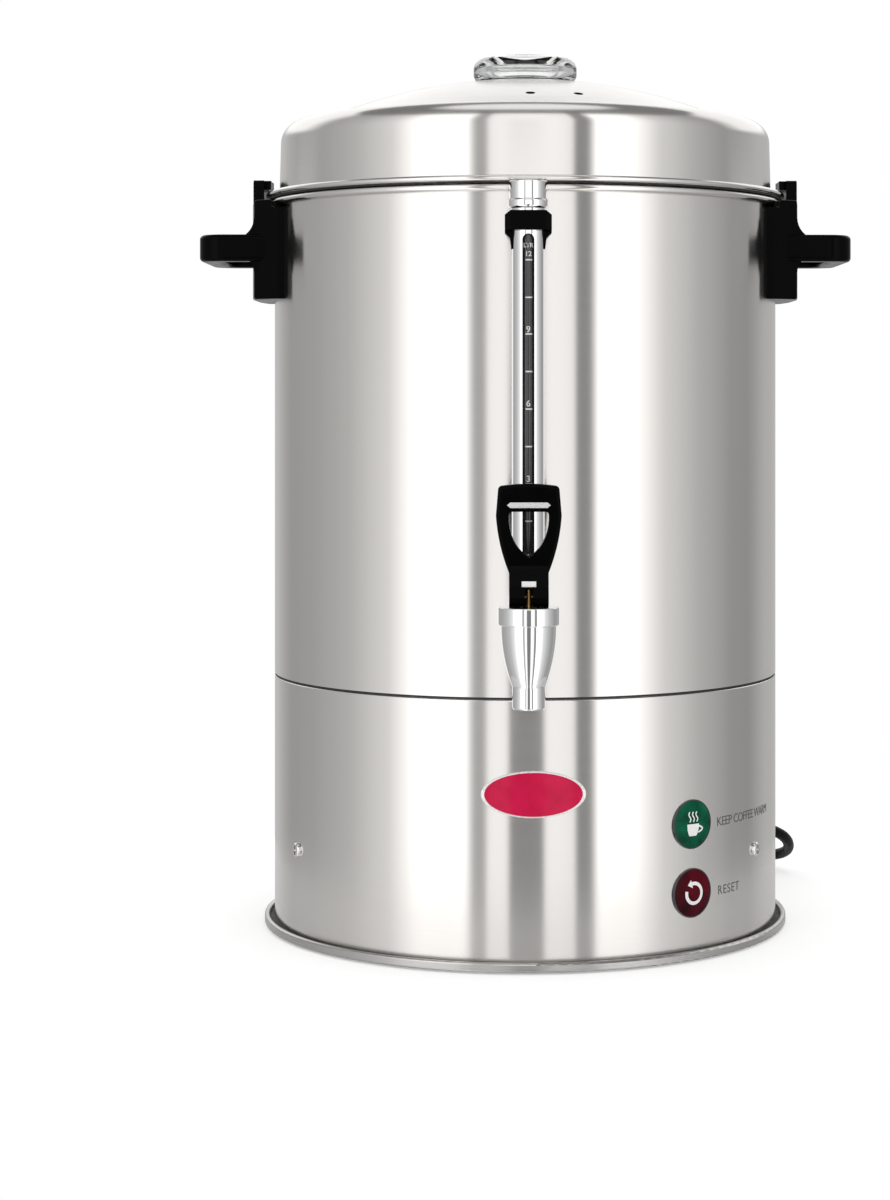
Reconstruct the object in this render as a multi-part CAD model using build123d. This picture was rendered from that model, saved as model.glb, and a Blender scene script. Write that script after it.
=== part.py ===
from build123d import *
import os
from math import cos, pi, radians, sin, sqrt, tan

# A large electric percolator urn. Millimetres, +Z up, the urn's axis on Z, the table at Z = 0.
# The front, with the tap, faces -Y. Azimuths are degrees from the front, growing towards +X.

# Driving dimensions -------------------------------------------------------------------------

TANK_R = 152.5          # outer radius of the tank and of the skirt under it
SHEET = 0.8             # thickness of the stainless sheet
FOOT_H = 1.0            # how far the rubber foot ring stands out under the tray
TRAY_R = 158.6          # outer radius of the tray's raised rim
TRAY_RIM_IN = 155.5     # inner radius of that rim
TRAY_RIM_TOP = 6.5
SKIRT_TOP = 151.2       # shoulder of the skirt, just under the seam
TANK_BOTTOM = 152.4     # lower edge of the tank's wall, just over the seam
FLOOR_Z = 160.0         # inside of the tank's floor
WELL_R = 36.0           # heating well in the floor
WELL_Z = 130.0
RIM_Z = 435.3           # centre of the rolled rim bead
RIM_BEAD_R = 2.1
LID_FLANGE_R = 157.95
LID_WALL_R = 149.7      # the lid's wall at its flange
LID_NECK_R = 148.8      # and under its shoulder
LID_FLANGE_Z = 438.65   # underside of the lid's flange
SHOULDER_R = 12.5       # radius of the lid's shoulder
SHOULDER_Z = 484.9      # flat ring between the shoulder and the dome
LID_TOP = 511.5         # crown of the lid's dome
DOME_R = 311.0          # radius of the dome's sphere
KNOB_R = 31.5
KNOB_BASE = 511.1
KNOB_TOP = 527.2
GAUGE_Y = -168.0        # axis of the sight gauge
TAP_Y = -195.0          # axis of the tap
SHANK_Z = 182.0         # height of the tap's shank
BONNET_TOP = 206.5
LIGHT_AZ = 37.7         # azimuth of the two round lights
WARM_Z = 77.0
RESET_Z = 38.1
SCREW_AZ = (-61.0, 61.0, 180.0)
CORD_AZ = 124.0         # azimuth at which the cord leaves the skirt
CORD_Z = 38.0
CORD_D = 7.0

INNER_R = TANK_R - SHEET


# Helpers ------------------------------------------------------------------------------------


def tube(r_out, r_in, z0, z1):
    """A plain ring about Z from height z0 to z1."""
    ring = Cylinder(r_out, z1 - z0, align=(Align.CENTER, Align.CENTER, Align.MIN))
    if r_in > 0:
        ring -= Cylinder(r_in, z1 - z0, align=(Align.CENTER, Align.CENTER, Align.MIN))
    return Pos(0, 0, z0) * ring


def turned(*lines):
    """A closed outline of radius and height, turned about Z."""
    return revolve(Plane.XZ * make_face(Curve() + list(lines)), Axis.Z)


def turned_points(*points):
    """A straight-sided outline of radius and height, turned about Z."""
    return revolve(Plane.XZ * make_face(Polyline(*points, close=True)), Axis.Z)


def cap_arc(radius, z_edge, z_top):
    """The arc of a dome, from its edge to its crown on the axis, centred on the axis."""
    rise = z_top - z_edge
    ball = (radius**2 + rise**2) / (2 * rise)
    half = radius / 2
    return ThreePointArc(
        (radius, z_edge), (half, z_top - ball + sqrt(ball**2 - half**2)), (0, z_top)
    )


def outward(azimuth, z, r=0.0):
    """A plane at an azimuth, height and radius whose own Z points away from the urn's axis."""
    a = radians(azimuth)
    return Plane(
        origin=(r * sin(a), -r * cos(a), z),
        x_dir=(cos(a), sin(a), 0),
        z_dir=(sin(a), -cos(a), 0),
    )


def rod_out(azimuth, z, radius, r0, r1):
    """A round rod along a radius of the urn, from r0 to r1."""
    return outward(azimuth, z, r0) * Cylinder(
        radius, r1 - r0, align=(Align.CENTER, Align.CENTER, Align.MIN)
    )


def ring_out(azimuth, z, r_out, r_in, r0, r1):
    """A ring about a radius of the urn, from r0 to r1."""
    return rod_out(azimuth, z, r_out, r0, r1) - rod_out(azimuth, z, r_in, r0, r1)


def cylinder_of(radius):
    """A tall cylinder about the urn's axis, used to cut or keep what lies inside the wall."""
    return tube(radius, 0, -10, 560)


def cross_recess(azimuth, z, r_face, span, width, depth):
    """The crossed slot in a screw's head."""
    bars = Box(span, width, depth * 2) + Box(width, span, depth * 2)
    return outward(azimuth, z, r_face) * bars


# Tank, skirt and tray -----------------------------------------------------------------------

HANDLE_SCREW_Z = (388.0, 416.0)
HANDLE_SCREW_R = 2.5
GAUGE_SCREW_Z = 412.0
GAUGE_SCREW_R = 2.0
SHANK_R = 8.0
LIGHT_HOLE_R = 13.8
SKIRT_SCREW_Z = 54.5
SKIRT_SCREW_R = 2.0
SKIRT_HEAD_R = 4.3
SKIRT_HEAD_H = 2.1
RELIEF_NECK_R = 5.5


def make_tank():
    wall = tube(TANK_R, INNER_R, TANK_BOTTOM, RIM_Z + 1.2)
    bead = Pos(0, 0, RIM_Z) * Torus(TANK_R + 1.8, RIM_BEAD_R)
    floor = tube(INNER_R + 0.1, WELL_R, FLOOR_Z - SHEET, FLOOR_Z)
    well = tube(WELL_R + SHEET, WELL_R, WELL_Z - SHEET, FLOOR_Z)
    bottom = tube(WELL_R + SHEET, 0, WELL_Z - SHEET, WELL_Z)
    tank = wall + bead + floor + well + bottom
    tank -= rod_out(0, SHANK_Z, SHANK_R + 0.05, 140, 160)
    tank -= rod_out(0, GAUGE_SCREW_Z, GAUGE_SCREW_R + 0.05, 140, 160)
    for side in (-90, 90):
        for z in HANDLE_SCREW_Z:
            tank -= rod_out(side, z, HANDLE_SCREW_R + 0.05, 140, 160)
    return tank


def make_skirt():
    joggle_r = INNER_R - 0.1
    outline = (
        Line((TANK_R, 2.0), (TANK_R, SKIRT_TOP - 0.8)),
        ThreePointArc(
            (TANK_R, SKIRT_TOP - 0.8), (TANK_R - 0.24, SKIRT_TOP - 0.24), (INNER_R, SKIRT_TOP)
        ),
        Line((INNER_R, SKIRT_TOP), (joggle_r, SKIRT_TOP)),
        Line((joggle_r, SKIRT_TOP), (joggle_r, FLOOR_Z - 2)),
        Line((joggle_r, FLOOR_Z - 2), (joggle_r - SHEET, FLOOR_Z - 2)),
        Line((joggle_r - SHEET, FLOOR_Z - 2), (joggle_r - SHEET, SKIRT_TOP - SHEET)),
        Line((joggle_r - SHEET, SKIRT_TOP - SHEET), (INNER_R, SKIRT_TOP - 2 * SHEET)),
        Line((INNER_R, SKIRT_TOP - 2 * SHEET), (INNER_R, 2.0)),
        Line((INNER_R, 2.0), (TANK_R, 2.0)),
    )
    skirt = turned(*outline)
    for z in (WARM_Z, RESET_Z):
        skirt -= rod_out(LIGHT_AZ, z, LIGHT_HOLE_R, 145, 160)
    for azimuth in SCREW_AZ:
        skirt -= rod_out(azimuth, SKIRT_SCREW_Z, SKIRT_SCREW_R + 0.05, 145, 160)
    skirt -= rod_out(CORD_AZ, CORD_Z, RELIEF_NECK_R, 145, 160)
    return skirt


def make_seam_gasket():
    return tube(TANK_R - 0.2, INNER_R - 0.05, SKIRT_TOP + 0.02, TANK_BOTTOM - 0.02)


FOOT_MID_R = 142.0
FOOT_PEG_R = 2.5
FOOT_PEG_AZ = range(10, 360, 60)


def make_tray():
    plate_top = FOOT_H + SHEET
    plate = tube(TRAY_RIM_IN + 0.5, 0, FOOT_H, plate_top)
    rim = tube(TRAY_R, TRAY_RIM_IN, FOOT_H, TRAY_RIM_TOP)
    rim = fillet(rim.edges().filter_by(GeomType.CIRCLE), 1.3)
    tray = plate + rim
    slot = SlotOverall(34, 5)
    for azimuth in range(0, 360, 45):
        tray -= Rot(0, 0, azimuth) * extrude(Pos(95, 0, FOOT_H - 1) * slot, 4)
    for azimuth in FOOT_PEG_AZ:
        tray -= Rot(0, 0, azimuth) * Pos(FOOT_MID_R, 0, 0) * tube(FOOT_PEG_R, 0, 0, 3)
    for azimuth in SCREW_AZ:
        tab = tube(INNER_R - 0.1, INNER_R - 2.1, plate_top - 0.2, SKIRT_SCREW_Z + 10)
        tab &= outward(azimuth, SKIRT_SCREW_Z, 150) * Box(15, 140, 20)
        tab -= rod_out(azimuth, SKIRT_SCREW_Z, SKIRT_SCREW_R, 140, 160)
        tray += tab
    return tray


def make_foot_ring():
    foot = tube(FOOT_MID_R + 4, FOOT_MID_R - 4, 0, FOOT_H)
    for azimuth in FOOT_PEG_AZ:
        foot += Rot(0, 0, azimuth) * Pos(FOOT_MID_R, 0, 0) * tube(FOOT_PEG_R, 0, 0.5, 4.0)
    return foot


def make_tray_seal():
    """The black ring that fills the foot of the gap between the skirt and the tray's rim."""
    return tube(TRAY_RIM_IN - 0.05, TANK_R + 0.05, FOOT_H + SHEET, TRAY_RIM_TOP - 2.6)


def make_skirt_screws():
    screws = []
    face = TANK_R + SKIRT_HEAD_H
    for azimuth in SCREW_AZ:
        head = rod_out(azimuth, SKIRT_SCREW_Z, SKIRT_HEAD_R, TANK_R, face)
        head = fillet(head.edges().sort_by_distance(outward(azimuth, SKIRT_SCREW_Z, 170).origin)[0], 1.5)
        head -= cross_recess(azimuth, SKIRT_SCREW_Z, face, 5.0, 1.1, 1.3)
        screws.append(head + rod_out(azimuth, SKIRT_SCREW_Z, SKIRT_SCREW_R, 146, TANK_R + 0.5))
    return Compound(children=screws)


# Handles ------------------------------------------------------------------------------------

PLATE_X = 164.6         # outer face of the handle's plate, at its middle
PLATE_END_X = 161.7     # and at its front and back bends
PLATE_END_Y = 44.0
PLATE_HALF_Y = 52.5
PLATE_Z = (376.9, 436.0)
GRIP_X = 195.0
GRIP_ROOT_X = 150.0     # inner ends of the grip's arms, inside the plate
GRIP_Z = (399.4, 415.4)
GRIP_HALF_Y = 48.0
GRIP_BAR = 12.0
FINGER_HALF_Y = 35.0
HOOK_X = 154.8
HOOK_Z = (444.6, 450.0)
HOOK_HALF_Y = 10.0


def make_grip():
    """The finger loop: a rounded bar on two arms, its edges rounded all over."""
    g0, g1 = GRIP_Z
    root = GRIP_ROOT_X
    plan = make_face(Polyline((root, -GRIP_HALF_Y), (GRIP_X, -GRIP_HALF_Y), (GRIP_X, GRIP_HALF_Y),
                              (root, GRIP_HALF_Y), close=True))
    plan = fillet([v for v in plan.vertices() if v.X > root + 1], 15)
    opening = Pos((GRIP_X - GRIP_BAR + root) / 2, 0) * RectangleRounded(
        GRIP_X - GRIP_BAR - root, 2 * FINGER_HALF_Y, 7
    )
    grip = extrude(Pos(0, 0, g0) * plan, g1 - g0)
    grip -= extrude(Pos(0, 0, g0) * opening, g1 - g0)
    level = grip.edges().filter_by(lambda e: abs(e.bounding_box().size.Z) < 0.01)
    grip = fillet(level.filter_by(lambda e: e.center().X > root + 1), 2.6)
    face = PLATE_END_X
    for sign, level_z, bend in ((1, g1 - 2.6, 12.6), (-1, g0 + 2.6, 8.6)):
        web = make_face(
            Polyline((face, level_z + sign * bend), (root, level_z + sign * bend), (root, level_z),
                     (face + bend, level_z))
            + ThreePointArc(
                (face + bend, level_z),
                (face + 0.293 * bend, level_z + sign * 0.293 * bend),
                (face, level_z + sign * bend),
            )
        )
        for side in (-1, 1):
            middle = side * (FINGER_HALF_Y + GRIP_HALF_Y) / 2
            grip += extrude(Pos(0, middle, 0) * (Plane.XZ * web), 4.0, both=True)
    return grip


def make_handle():
    """The right-hand handle. A plate that hugs the tank, a loop for the fingers, a hook on top."""
    z0, z1 = PLATE_Z
    plan = make_face(
        Polyline((130, -PLATE_HALF_Y), (146.8, -PLATE_HALF_Y), (PLATE_END_X, -PLATE_END_Y), (PLATE_X, -20),
                 (PLATE_X, 20), (PLATE_END_X, PLATE_END_Y), (146.8, PLATE_HALF_Y), (130, PLATE_HALF_Y),
                 close=True)
    )
    plate = extrude(Pos(0, 0, z0) * plan, z1 - z0)
    bends = plate.edges().filter_by(Axis.Z).filter_by(lambda e: e.center().X > PLATE_X - 0.5)
    plate = fillet([e for e in plate.edges() if e.center().X > 150 and e not in bends], 1.5)
    width = 2 * HOOK_HALF_Y + 14
    column = Pos(145, 0, z1 - 8) * Box(
        PLATE_X - 145, width, HOOK_Z[1] - z1 + 8, align=(Align.MIN, Align.CENTER, Align.MIN)
    )
    column = fillet(column.edges().filter_by(Axis.X).sort_by(Axis.Z)[-2:], 3)
    reach = LID_FLANGE_R + 1.0
    column -= tube(reach, 0, z1 - 10, HOOK_Z[0])
    column -= tube(reach, 0, HOOK_Z[0] - 1, HOOK_Z[1] + 5) - Box(400, 2 * HOOK_HALF_Y, 1200)
    column -= tube(HOOK_X, 0, z1 - 10, HOOK_Z[1] + 5)
    handle = plate + column + make_grip() - cylinder_of(TANK_R + 0.05)
    handle -= tube(reach, 0, RIM_Z - 4, z1 + 4)
    for z in HANDLE_SCREW_Z:
        handle -= rod_out(90, z, HANDLE_SCREW_R, 150, 163.1)
    return handle


def make_handle_screws():
    screws = []
    for side in (-90, 90):
        for z in HANDLE_SCREW_Z:
            head = rod_out(side, z, 5.0, INNER_R - 3.2, INNER_R - 0.3)
            head -= cross_recess(side, z, INNER_R - 3.2, 5.4, 1.2, 1.4)
            screws.append(head + rod_out(side, z, HANDLE_SCREW_R, INNER_R - 1.2, 163))
    return Compound(children=screws)


# Sight gauge --------------------------------------------------------------------------------

SHIELD_R = 9.0
SHIELD_Z = (196.0, 410.2)
SLOT_Z = (231.9, 408.2)
SLOT_W = 6.6
GLASS_R = 5.5
BAND_Z = (410.2, 420.9)
BAND_HALF = 12.85       # half width of the collar
BAND_FRONT = 9.7        # half width of its front face


def at_gauge(solid):
    return Pos(0, GAUGE_Y, 0) * solid


def make_shield():
    shield = tube(SHIELD_R, SHIELD_R - 0.9, *SHIELD_Z)
    length = SLOT_Z[1] - SLOT_Z[0]
    slot = Plane.XZ * (Pos(0, (SLOT_Z[0] + SLOT_Z[1]) / 2) * Rot(0, 0, 90) * SlotOverall(length, SLOT_W))
    return at_gauge(shield - extrude(slot, SHIELD_R + 4))


def make_gauge_tube():
    return at_gauge(tube(GLASS_R, 4.0, 186.0, 430.0))


def make_gauge_seal():
    return at_gauge(tube(8.0, GLASS_R, 188.0, 196.0))


def make_collar():
    """The black moulding that holds the top of the shield and is screwed to the tank."""
    low, high = BAND_Z
    ear_low = 400.0
    half_y = 10.75
    slant_y = half_y - 4.6
    plan = make_face(
        Polyline((BAND_FRONT, -half_y), (BAND_HALF, -slant_y), (BAND_HALF, slant_y), (BAND_FRONT, half_y),
                 (-BAND_FRONT, half_y), (-BAND_HALF, slant_y), (-BAND_HALF, -slant_y),
                 (-BAND_FRONT, -half_y), close=True)
    )
    front = make_face(
        Polyline((-BAND_HALF, low), (BAND_HALF, low), (BAND_HALF, high - 2.3), (BAND_FRONT, high),
                 (-BAND_FRONT, high), (-BAND_HALF, high - 2.3), close=True)
    )
    band = extrude(Pos(0, 0, low) * plan, high - low) & extrude(Plane.XZ * front, 20, both=True)
    ear = make_face(
        Polyline((-BAND_HALF, low + 0.2), (-BAND_HALF, low - 1.4), (-10.0, low - 4.4), (-SHIELD_R - 0.3, ear_low),
                 (SHIELD_R + 0.3, ear_low), (10.0, low - 4.4), (BAND_HALF, low - 1.4), (BAND_HALF, low + 0.2),
                 close=True)
    )
    ears = extrude(Pos(0, GAUGE_Y + 3, 0) * (Plane.XZ * ear), 6, both=True)
    foot = Pos(0, GAUGE_Y + 13, ear_low) * Box(
        14, 12, high - ear_low, align=(Align.CENTER, Align.CENTER, Align.MIN)
    )
    collar = at_gauge(band)
    collar += ears + foot
    collar -= at_gauge(tube(SHIELD_R + 0.05, 0, 395, BAND_Z[0]))
    collar -= at_gauge(tube(GLASS_R + 0.05, 0, 395, 430))
    collar -= cylinder_of(TANK_R + 0.05)
    return collar - rod_out(0, GAUGE_SCREW_Z, GAUGE_SCREW_R, 150, 158.1)


def make_gauge_cap():
    ring_z = (422.2, 427.8)
    cap = tube(10.5, 0, ring_z[1] - 0.2, 437.6)
    cap = fillet(cap.edges().filter_by(GeomType.CIRCLE).sort_by(Axis.Z)[-1], 0.8)
    ring = tube(11.4, 0, *ring_z)
    ring = fillet(ring.edges().filter_by(GeomType.CIRCLE), 1.8)
    neck = tube(9.8, 0, BAND_Z[1] + 0.02, ring_z[0] + 1)
    return at_gauge(cap + ring + neck - tube(GLASS_R + 0.05, 0, 420, 431) - tube(1.0, 0, 430, 440))


def make_gauge_screw():
    head = rod_out(0, GAUGE_SCREW_Z, 4.0, INNER_R - 2.8, INNER_R - 0.2)
    head -= cross_recess(0, GAUGE_SCREW_Z, INNER_R - 2.8, 4.4, 1.0, 1.2)
    return head + rod_out(0, GAUGE_SCREW_Z, GAUGE_SCREW_R, INNER_R - 1, 158)


# Tap ----------------------------------------------------------------------------------------

BODY_TOP = 196.6
BODY_R = 15.2
SPOUT_Z = 151.4
SPOUT_R = 9.0
SPOUT_TOP = 163.2
SPOUT_BORE_R = 5.6
CHAMBER_R = 10.5
BONNET_R = 16.8
STEM_R = 1.6
STEM_OVER_PIN = 4.0     # how far the stem reaches over its cross pin
PIN_Z = 211.7
PIN_R = 0.8
CLIP_Z = 218.95         # middle of the slot over the stem
CAM_LIFT = 4.5          # stem lift in mm for each radian of lever tilt
LEVER_LIMIT = 45.0
LEVER_GAP = 0.15        # play between the cam foot and the bonnet
SHANK_END = 184.0       # the shank stops short of the valve chamber


def at_tap(solid):
    return Pos(0, TAP_Y, 0) * solid


def make_shank():
    shank = rod_out(0, SHANK_Z, SHANK_R, 138, SHANK_END)
    shank += rod_out(0, SHANK_Z, 13.0, 154.6, 157.6)
    boss = at_gauge(tube(10.5, 0, 171.5, SHIELD_Z[0]))
    shank += fillet(boss.edges().filter_by(GeomType.CIRCLE).sort_by(Axis.Z)[0], 2.0)
    shank -= rod_out(0, SHANK_Z, 5.0, 130, 190)
    return shank - at_gauge(tube(4.0, 0, 182, 190)) - at_gauge(tube(8.0, 0, 186, 200))


def make_tap_nut():
    nut = extrude(outward(0, SHANK_Z, 143.7) * RegularPolygon(15.0, 6), 5.8)
    return nut - rod_out(0, SHANK_Z, SHANK_R + 0.02, 140, 152)


def make_outer_gasket():
    return ring_out(0, SHANK_Z, 13.0, SHANK_R + 0.02, 150, 154.6) - cylinder_of(TANK_R + 0.02)


def make_inner_gasket():
    return ring_out(0, SHANK_Z, 13.0, SHANK_R + 0.02, 149.5, 153) & cylinder_of(INNER_R - 0.02)


def make_tap_body():
    outline = (
        Line((0, SPOUT_Z), (SPOUT_R - 0.5, SPOUT_Z)),
        Line((SPOUT_R - 0.5, SPOUT_Z), (SPOUT_R, SPOUT_Z + 0.8)),
        Line((SPOUT_R, SPOUT_Z + 0.8), (SPOUT_R, SPOUT_TOP)),
        Line((SPOUT_R, SPOUT_TOP), (SPOUT_R + 0.2, SPOUT_TOP + 0.7)),
        ThreePointArc((SPOUT_R + 0.2, SPOUT_TOP + 0.7), (13.5, 178.8), (BODY_R, BODY_TOP - 0.8)),
        Line((BODY_R, BODY_TOP - 0.8), (BODY_R, BODY_TOP)),
        Line((BODY_R, BODY_TOP), (0, BODY_TOP)),
        Line((0, BODY_TOP), (0, SPOUT_Z)),
    )
    body = at_tap(turned(*outline)) + rod_out(0, SHANK_Z, 10.0, 179.2, -TAP_Y)
    bore = turned_points(
        (0, SPOUT_Z - 1), (SPOUT_BORE_R, SPOUT_Z - 1), (SPOUT_BORE_R, 170.5),
        (CHAMBER_R, 174.0), (CHAMBER_R, BODY_TOP + 1), (0, BODY_TOP + 1),
    )
    body -= at_tap(bore)
    body -= rod_out(0, SHANK_Z, SHANK_R, 170, SHANK_END)
    return body - rod_out(0, SHANK_Z, 5.0, 170, 190)


def make_bonnet():
    bonnet = tube(BONNET_R, 0, BODY_TOP, BONNET_TOP)
    bonnet = fillet(bonnet.edges().filter_by(GeomType.CIRCLE), 0.7)
    return at_tap(bonnet - tube(11.5, 0, BODY_TOP - 1, 201.8) - tube(STEM_R + 0.06, 0, 195, 210))


def make_stem():
    stem = tube(STEM_R, 0, 175.0, PIN_Z + STEM_OVER_PIN)
    hole = Pos(0, 0, PIN_Z) * Rot(0, 90, 0) * Cylinder(PIN_R, 10)
    return at_tap(stem - hole)


def make_stem_pin():
    return at_tap(Pos(0, 0, PIN_Z) * Rot(0, 90, 0) * Cylinder(PIN_R, 17))


def make_seat_cup():
    cup = turned_points((0, 170.7), (5.0, 170.7), (9.6, 174.1), (9.6, 178.4), (9.0, 179), (0, 179))
    return at_tap(cup - tube(STEM_R, 0, 175.0, 180))


def make_spring():
    wire = 0.5
    path = Helix(pitch=3.6, height=21.2, radius=6.0)
    start = Plane(origin=path @ 0, z_dir=path % 0)
    return at_tap(Pos(0, 0, 179.8) * sweep(start * Circle(wire), path=path, is_frenet=True))


def cam_outline():
    """The foot's side view: forward and down from the pin. Its reach grows evenly with the tilt."""
    rest = PIN_Z - BONNET_TOP - LEVER_GAP
    points = []
    for step in range(7):
        tilt = radians(step * (LEVER_LIMIT + 3) / 6)
        reach = rest + CAM_LIFT * tilt
        forward = reach * sin(tilt) + CAM_LIFT * cos(tilt)
        down = reach * cos(tilt) - CAM_LIFT * sin(tilt)
        points.append((-forward, PIN_Z - down))
    return points


def make_lever():
    cam = cam_outline()
    neck_top = 224.6
    tip = cam[-1]
    side = make_face(
        Polyline((5.6, cam[0][1]), cam[0])
        + Spline(*cam)
        + Polyline(tip, (tip[0] - 0.3, PIN_Z), (-7.2, PIN_Z + 6), (-6.2, neck_top + 2.5),
                   (-4.7, neck_top + 4.0), (4.6, neck_top + 4.0), (5.6, neck_top - 4), (5.6, cam[0][1]))
    )
    half = 10.6
    neck = extrude(Plane.YZ * side, half, both=True)
    front = make_face(
        Line((half, neck_top - 1), (half, neck_top))
        + ThreePointArc((half, neck_top), (15.1, 238.5), (17.7, 255.5))
        + Line((17.7, 255.5), (16.4, 271.2))
        + ThreePointArc((16.4, 271.2), (0, 272.6), (-16.4, 271.2))
        + Line((-16.4, 271.2), (-17.7, 255.5))
        + ThreePointArc((-17.7, 255.5), (-15.1, 238.5), (-half, neck_top))
        + Line((-half, neck_top), (-half, neck_top - 1))
        + Line((-half, neck_top - 1), (half, neck_top - 1))
    )
    front = fillet([v for v in front.vertices() if v.Y > 270], 2.4)
    window = make_face(
        Line((-10.6, 257.6), (10.6, 257.6))
        + ThreePointArc((10.6, 257.6), (8.6, 243.5), (0, 232.6))
        + ThreePointArc((0, 232.6), (-8.6, 243.5), (-10.6, 257.6))
    )
    window = fillet(window.vertices(), 1.8)
    grip = extrude(Plane.XZ * front, 4.6, both=True)
    grip = fillet(grip.edges().filter_by(lambda e: e.center().Z > neck_top + 2), 1.8)
    grip -= extrude(Plane.XZ * window, 8, both=True)
    groove = make_face(Polyline((-12, 261.2), (-10.2, 259.5), (10.2, 259.5), (12, 261.2),
                                (10.2, 262.8), (-10.2, 262.8), close=True))
    lever = neck + grip - extrude(Pos(0, -3.9, 0) * (Plane.XZ * groove), 3)
    pocket = Box(4.0, 20, 14, align=(Align.CENTER, Align.MAX, Align.MAX))
    lever -= Pos(0, 4.4, PIN_Z + STEM_OVER_PIN + 0.9) * pocket
    lever -= Pos(0, 0, PIN_Z) * Rot(0, 90, 0) * Cylinder(PIN_R + 0.06, 30)
    lever -= Pos(0, 0, CLIP_Z) * Box(7.9, 30, 3.1)
    return at_tap(lever)


def make_lever_clip():
    """The bright steel key in the slot of the lever's neck, over the stem."""
    return at_tap(Pos(0, -0.7, CLIP_Z) * Box(7.86, 11.8, 3.06))


# Badge and lights ---------------------------------------------------------------------------

BADGE_AZ = 1.2
BADGE_Z = 98.7
LENS_R = 13.3
BUTTON_R = 13.2
SLEEVE_R = 13.75
SLEEVE_IN = 13.35
BEZEL_R = 14.0


def make_badge():
    slab = extrude(outward(BADGE_AZ, BADGE_Z, 140) * Ellipse(29.3, 13.0), 30)
    return slab & tube(TANK_R + 1.1, TANK_R + 0.02, 60, 130)


def make_bezel(z):
    flange = ring_out(LIGHT_AZ, z, BEZEL_R, SLEEVE_IN, 151, TANK_R + 0.6) - cylinder_of(TANK_R + 0.02)
    return flange + ring_out(LIGHT_AZ, z, SLEEVE_R, SLEEVE_IN, 144.6, TANK_R + 0.5)


def make_lens(z, radius, r0):
    edge = TANK_R + 0.5
    crown = edge + 1.6
    dome = make_face(
        Polyline((0, r0), (radius, r0), (radius, edge))
        + cap_arc(radius, edge, crown)
        + Line((0, crown), (0, r0))
    )
    solid = revolve(Plane.XZ * dome, Axis.Z)
    return outward(LIGHT_AZ, z, 0) * solid


def make_light_body(z, stem_bore):
    body = rod_out(LIGHT_AZ, z, 14.4, 118, 148)
    body -= rod_out(LIGHT_AZ, z, SLEEVE_R, 144.6, 149)
    if stem_bore > 0:
        body -= rod_out(LIGHT_AZ, z, stem_bore, 130, 149)
    for across in (-6, 6):
        body += outward(LIGHT_AZ, z, 111) * Pos(across, 0, 4) * Box(0.8, 6.3, 9)
    return body


def make_button():
    return make_lens(RESET_Z, BUTTON_R, 148.4) + rod_out(LIGHT_AZ, RESET_Z, 4.0, 136, 149)


# Heating and wiring under the floor ---------------------------------------------------------


def make_brew_heater():
    ring = tube(WELL_R + 11, WELL_R + SHEET + 0.05, 132, 154)
    ring = fillet(ring.edges().filter_by(GeomType.CIRCLE), 2)
    for x in (-12, 12):
        ring += Pos(x, WELL_R + 14, 143) * Rot(90, 0, 0) * Cylinder(3.0, 12)
    return ring


def make_keep_warm_heater():
    return tube(98, 72, 156.6, FLOOR_Z - SHEET - 0.02)


def make_thermostat():
    can = Pos(0, -62, 0) * tube(9.0, 0, 150.0, FLOOR_Z - SHEET - 0.02)
    for x in (-5, 5):
        can += Pos(x, -62, 145) * Box(0.8, 6.3, 12)
    return can


def make_cutout():
    can = Pos(62, 0, 0) * tube(6.0, 0, 148.0, FLOOR_Z - SHEET - 0.02)
    return can + Pos(62, 0, 144) * Box(6.3, 0.8, 10)


def make_terminal_block():
    block = Pos(60, 70, FOOT_H + SHEET) * Box(40, 18, 16, align=(Align.CENTER, Align.CENTER, Align.MIN))
    for x in (46, 60, 74):
        block -= Pos(x, 70, 15) * Cylinder(3.0, 14)
    return block


# Pump and basket ----------------------------------------------------------------------------

PUMP_R = 4.8
BASKET_R = 85.0
BASKET_Z = (300.0, 395.0)


def make_pump_foot():
    z0 = WELL_Z + 2.0
    bell = turned_points((33.5, z0), (33.5, z0 + 3), (PUMP_R + 1.0, 156), (PUMP_R + 1.0, 164),
                         (PUMP_R, 164), (PUMP_R, 155), (32.3, z0 + 2.2), (32.3, z0))
    for azimuth in (0, 120, 240):
        bell += Rot(0, 0, azimuth) * Pos(32.9, 0, WELL_Z + 1.6) * Box(3, 6, 3.2)
    return bell


def make_pump_valve():
    return tube(9.0, 3.0, WELL_Z + 0.02, WELL_Z + 1.2)


def make_pump_tube():
    pipe = tube(PUMP_R, PUMP_R - 0.8, 157, 414)
    return pipe + tube(9.5, PUMP_R - 0.1, BASKET_Z[0] - 4, BASKET_Z[0] - 0.9)


def make_basket():
    z0, z1 = BASKET_Z
    basket = tube(BASKET_R, BASKET_R - SHEET, z0, z1)
    basket += tube(BASKET_R, PUMP_R + 0.3, z0 - SHEET, z0)
    basket += tube(PUMP_R + 1.1, PUMP_R + 0.3, z0 - SHEET, z1 + 2)
    basket += Pos(0, 0, z1) * Torus(BASKET_R, 1.2)
    for radius, count in ((20, 8), (38, 16), (56, 22), (74, 28)):
        for step in range(count):
            basket -= Rot(0, 0, 360 * step / count) * Pos(radius, 0, 0) * tube(1.8, 0, z0 - 3, z0 + 3)
    return basket


def make_basket_lid():
    z1 = BASKET_Z[1] + 2.3
    lid = tube(BASKET_R - 2, PUMP_R + 1.3, z1, z1 + SHEET)
    lid += tube(BASKET_R - 2, BASKET_R - 2.8, z1, z1 + 7)
    lid += tube(PUMP_R + 2.1, PUMP_R + 1.3, z1, z1 + 5)
    for radius, count in ((22, 8), (42, 14), (62, 20)):
        for step in range(count):
            lid -= Rot(0, 0, 360 * step / count) * Pos(radius, 0, 0) * tube(2.2, 0, z1 - 3, z1 + 3)
    return lid


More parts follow.
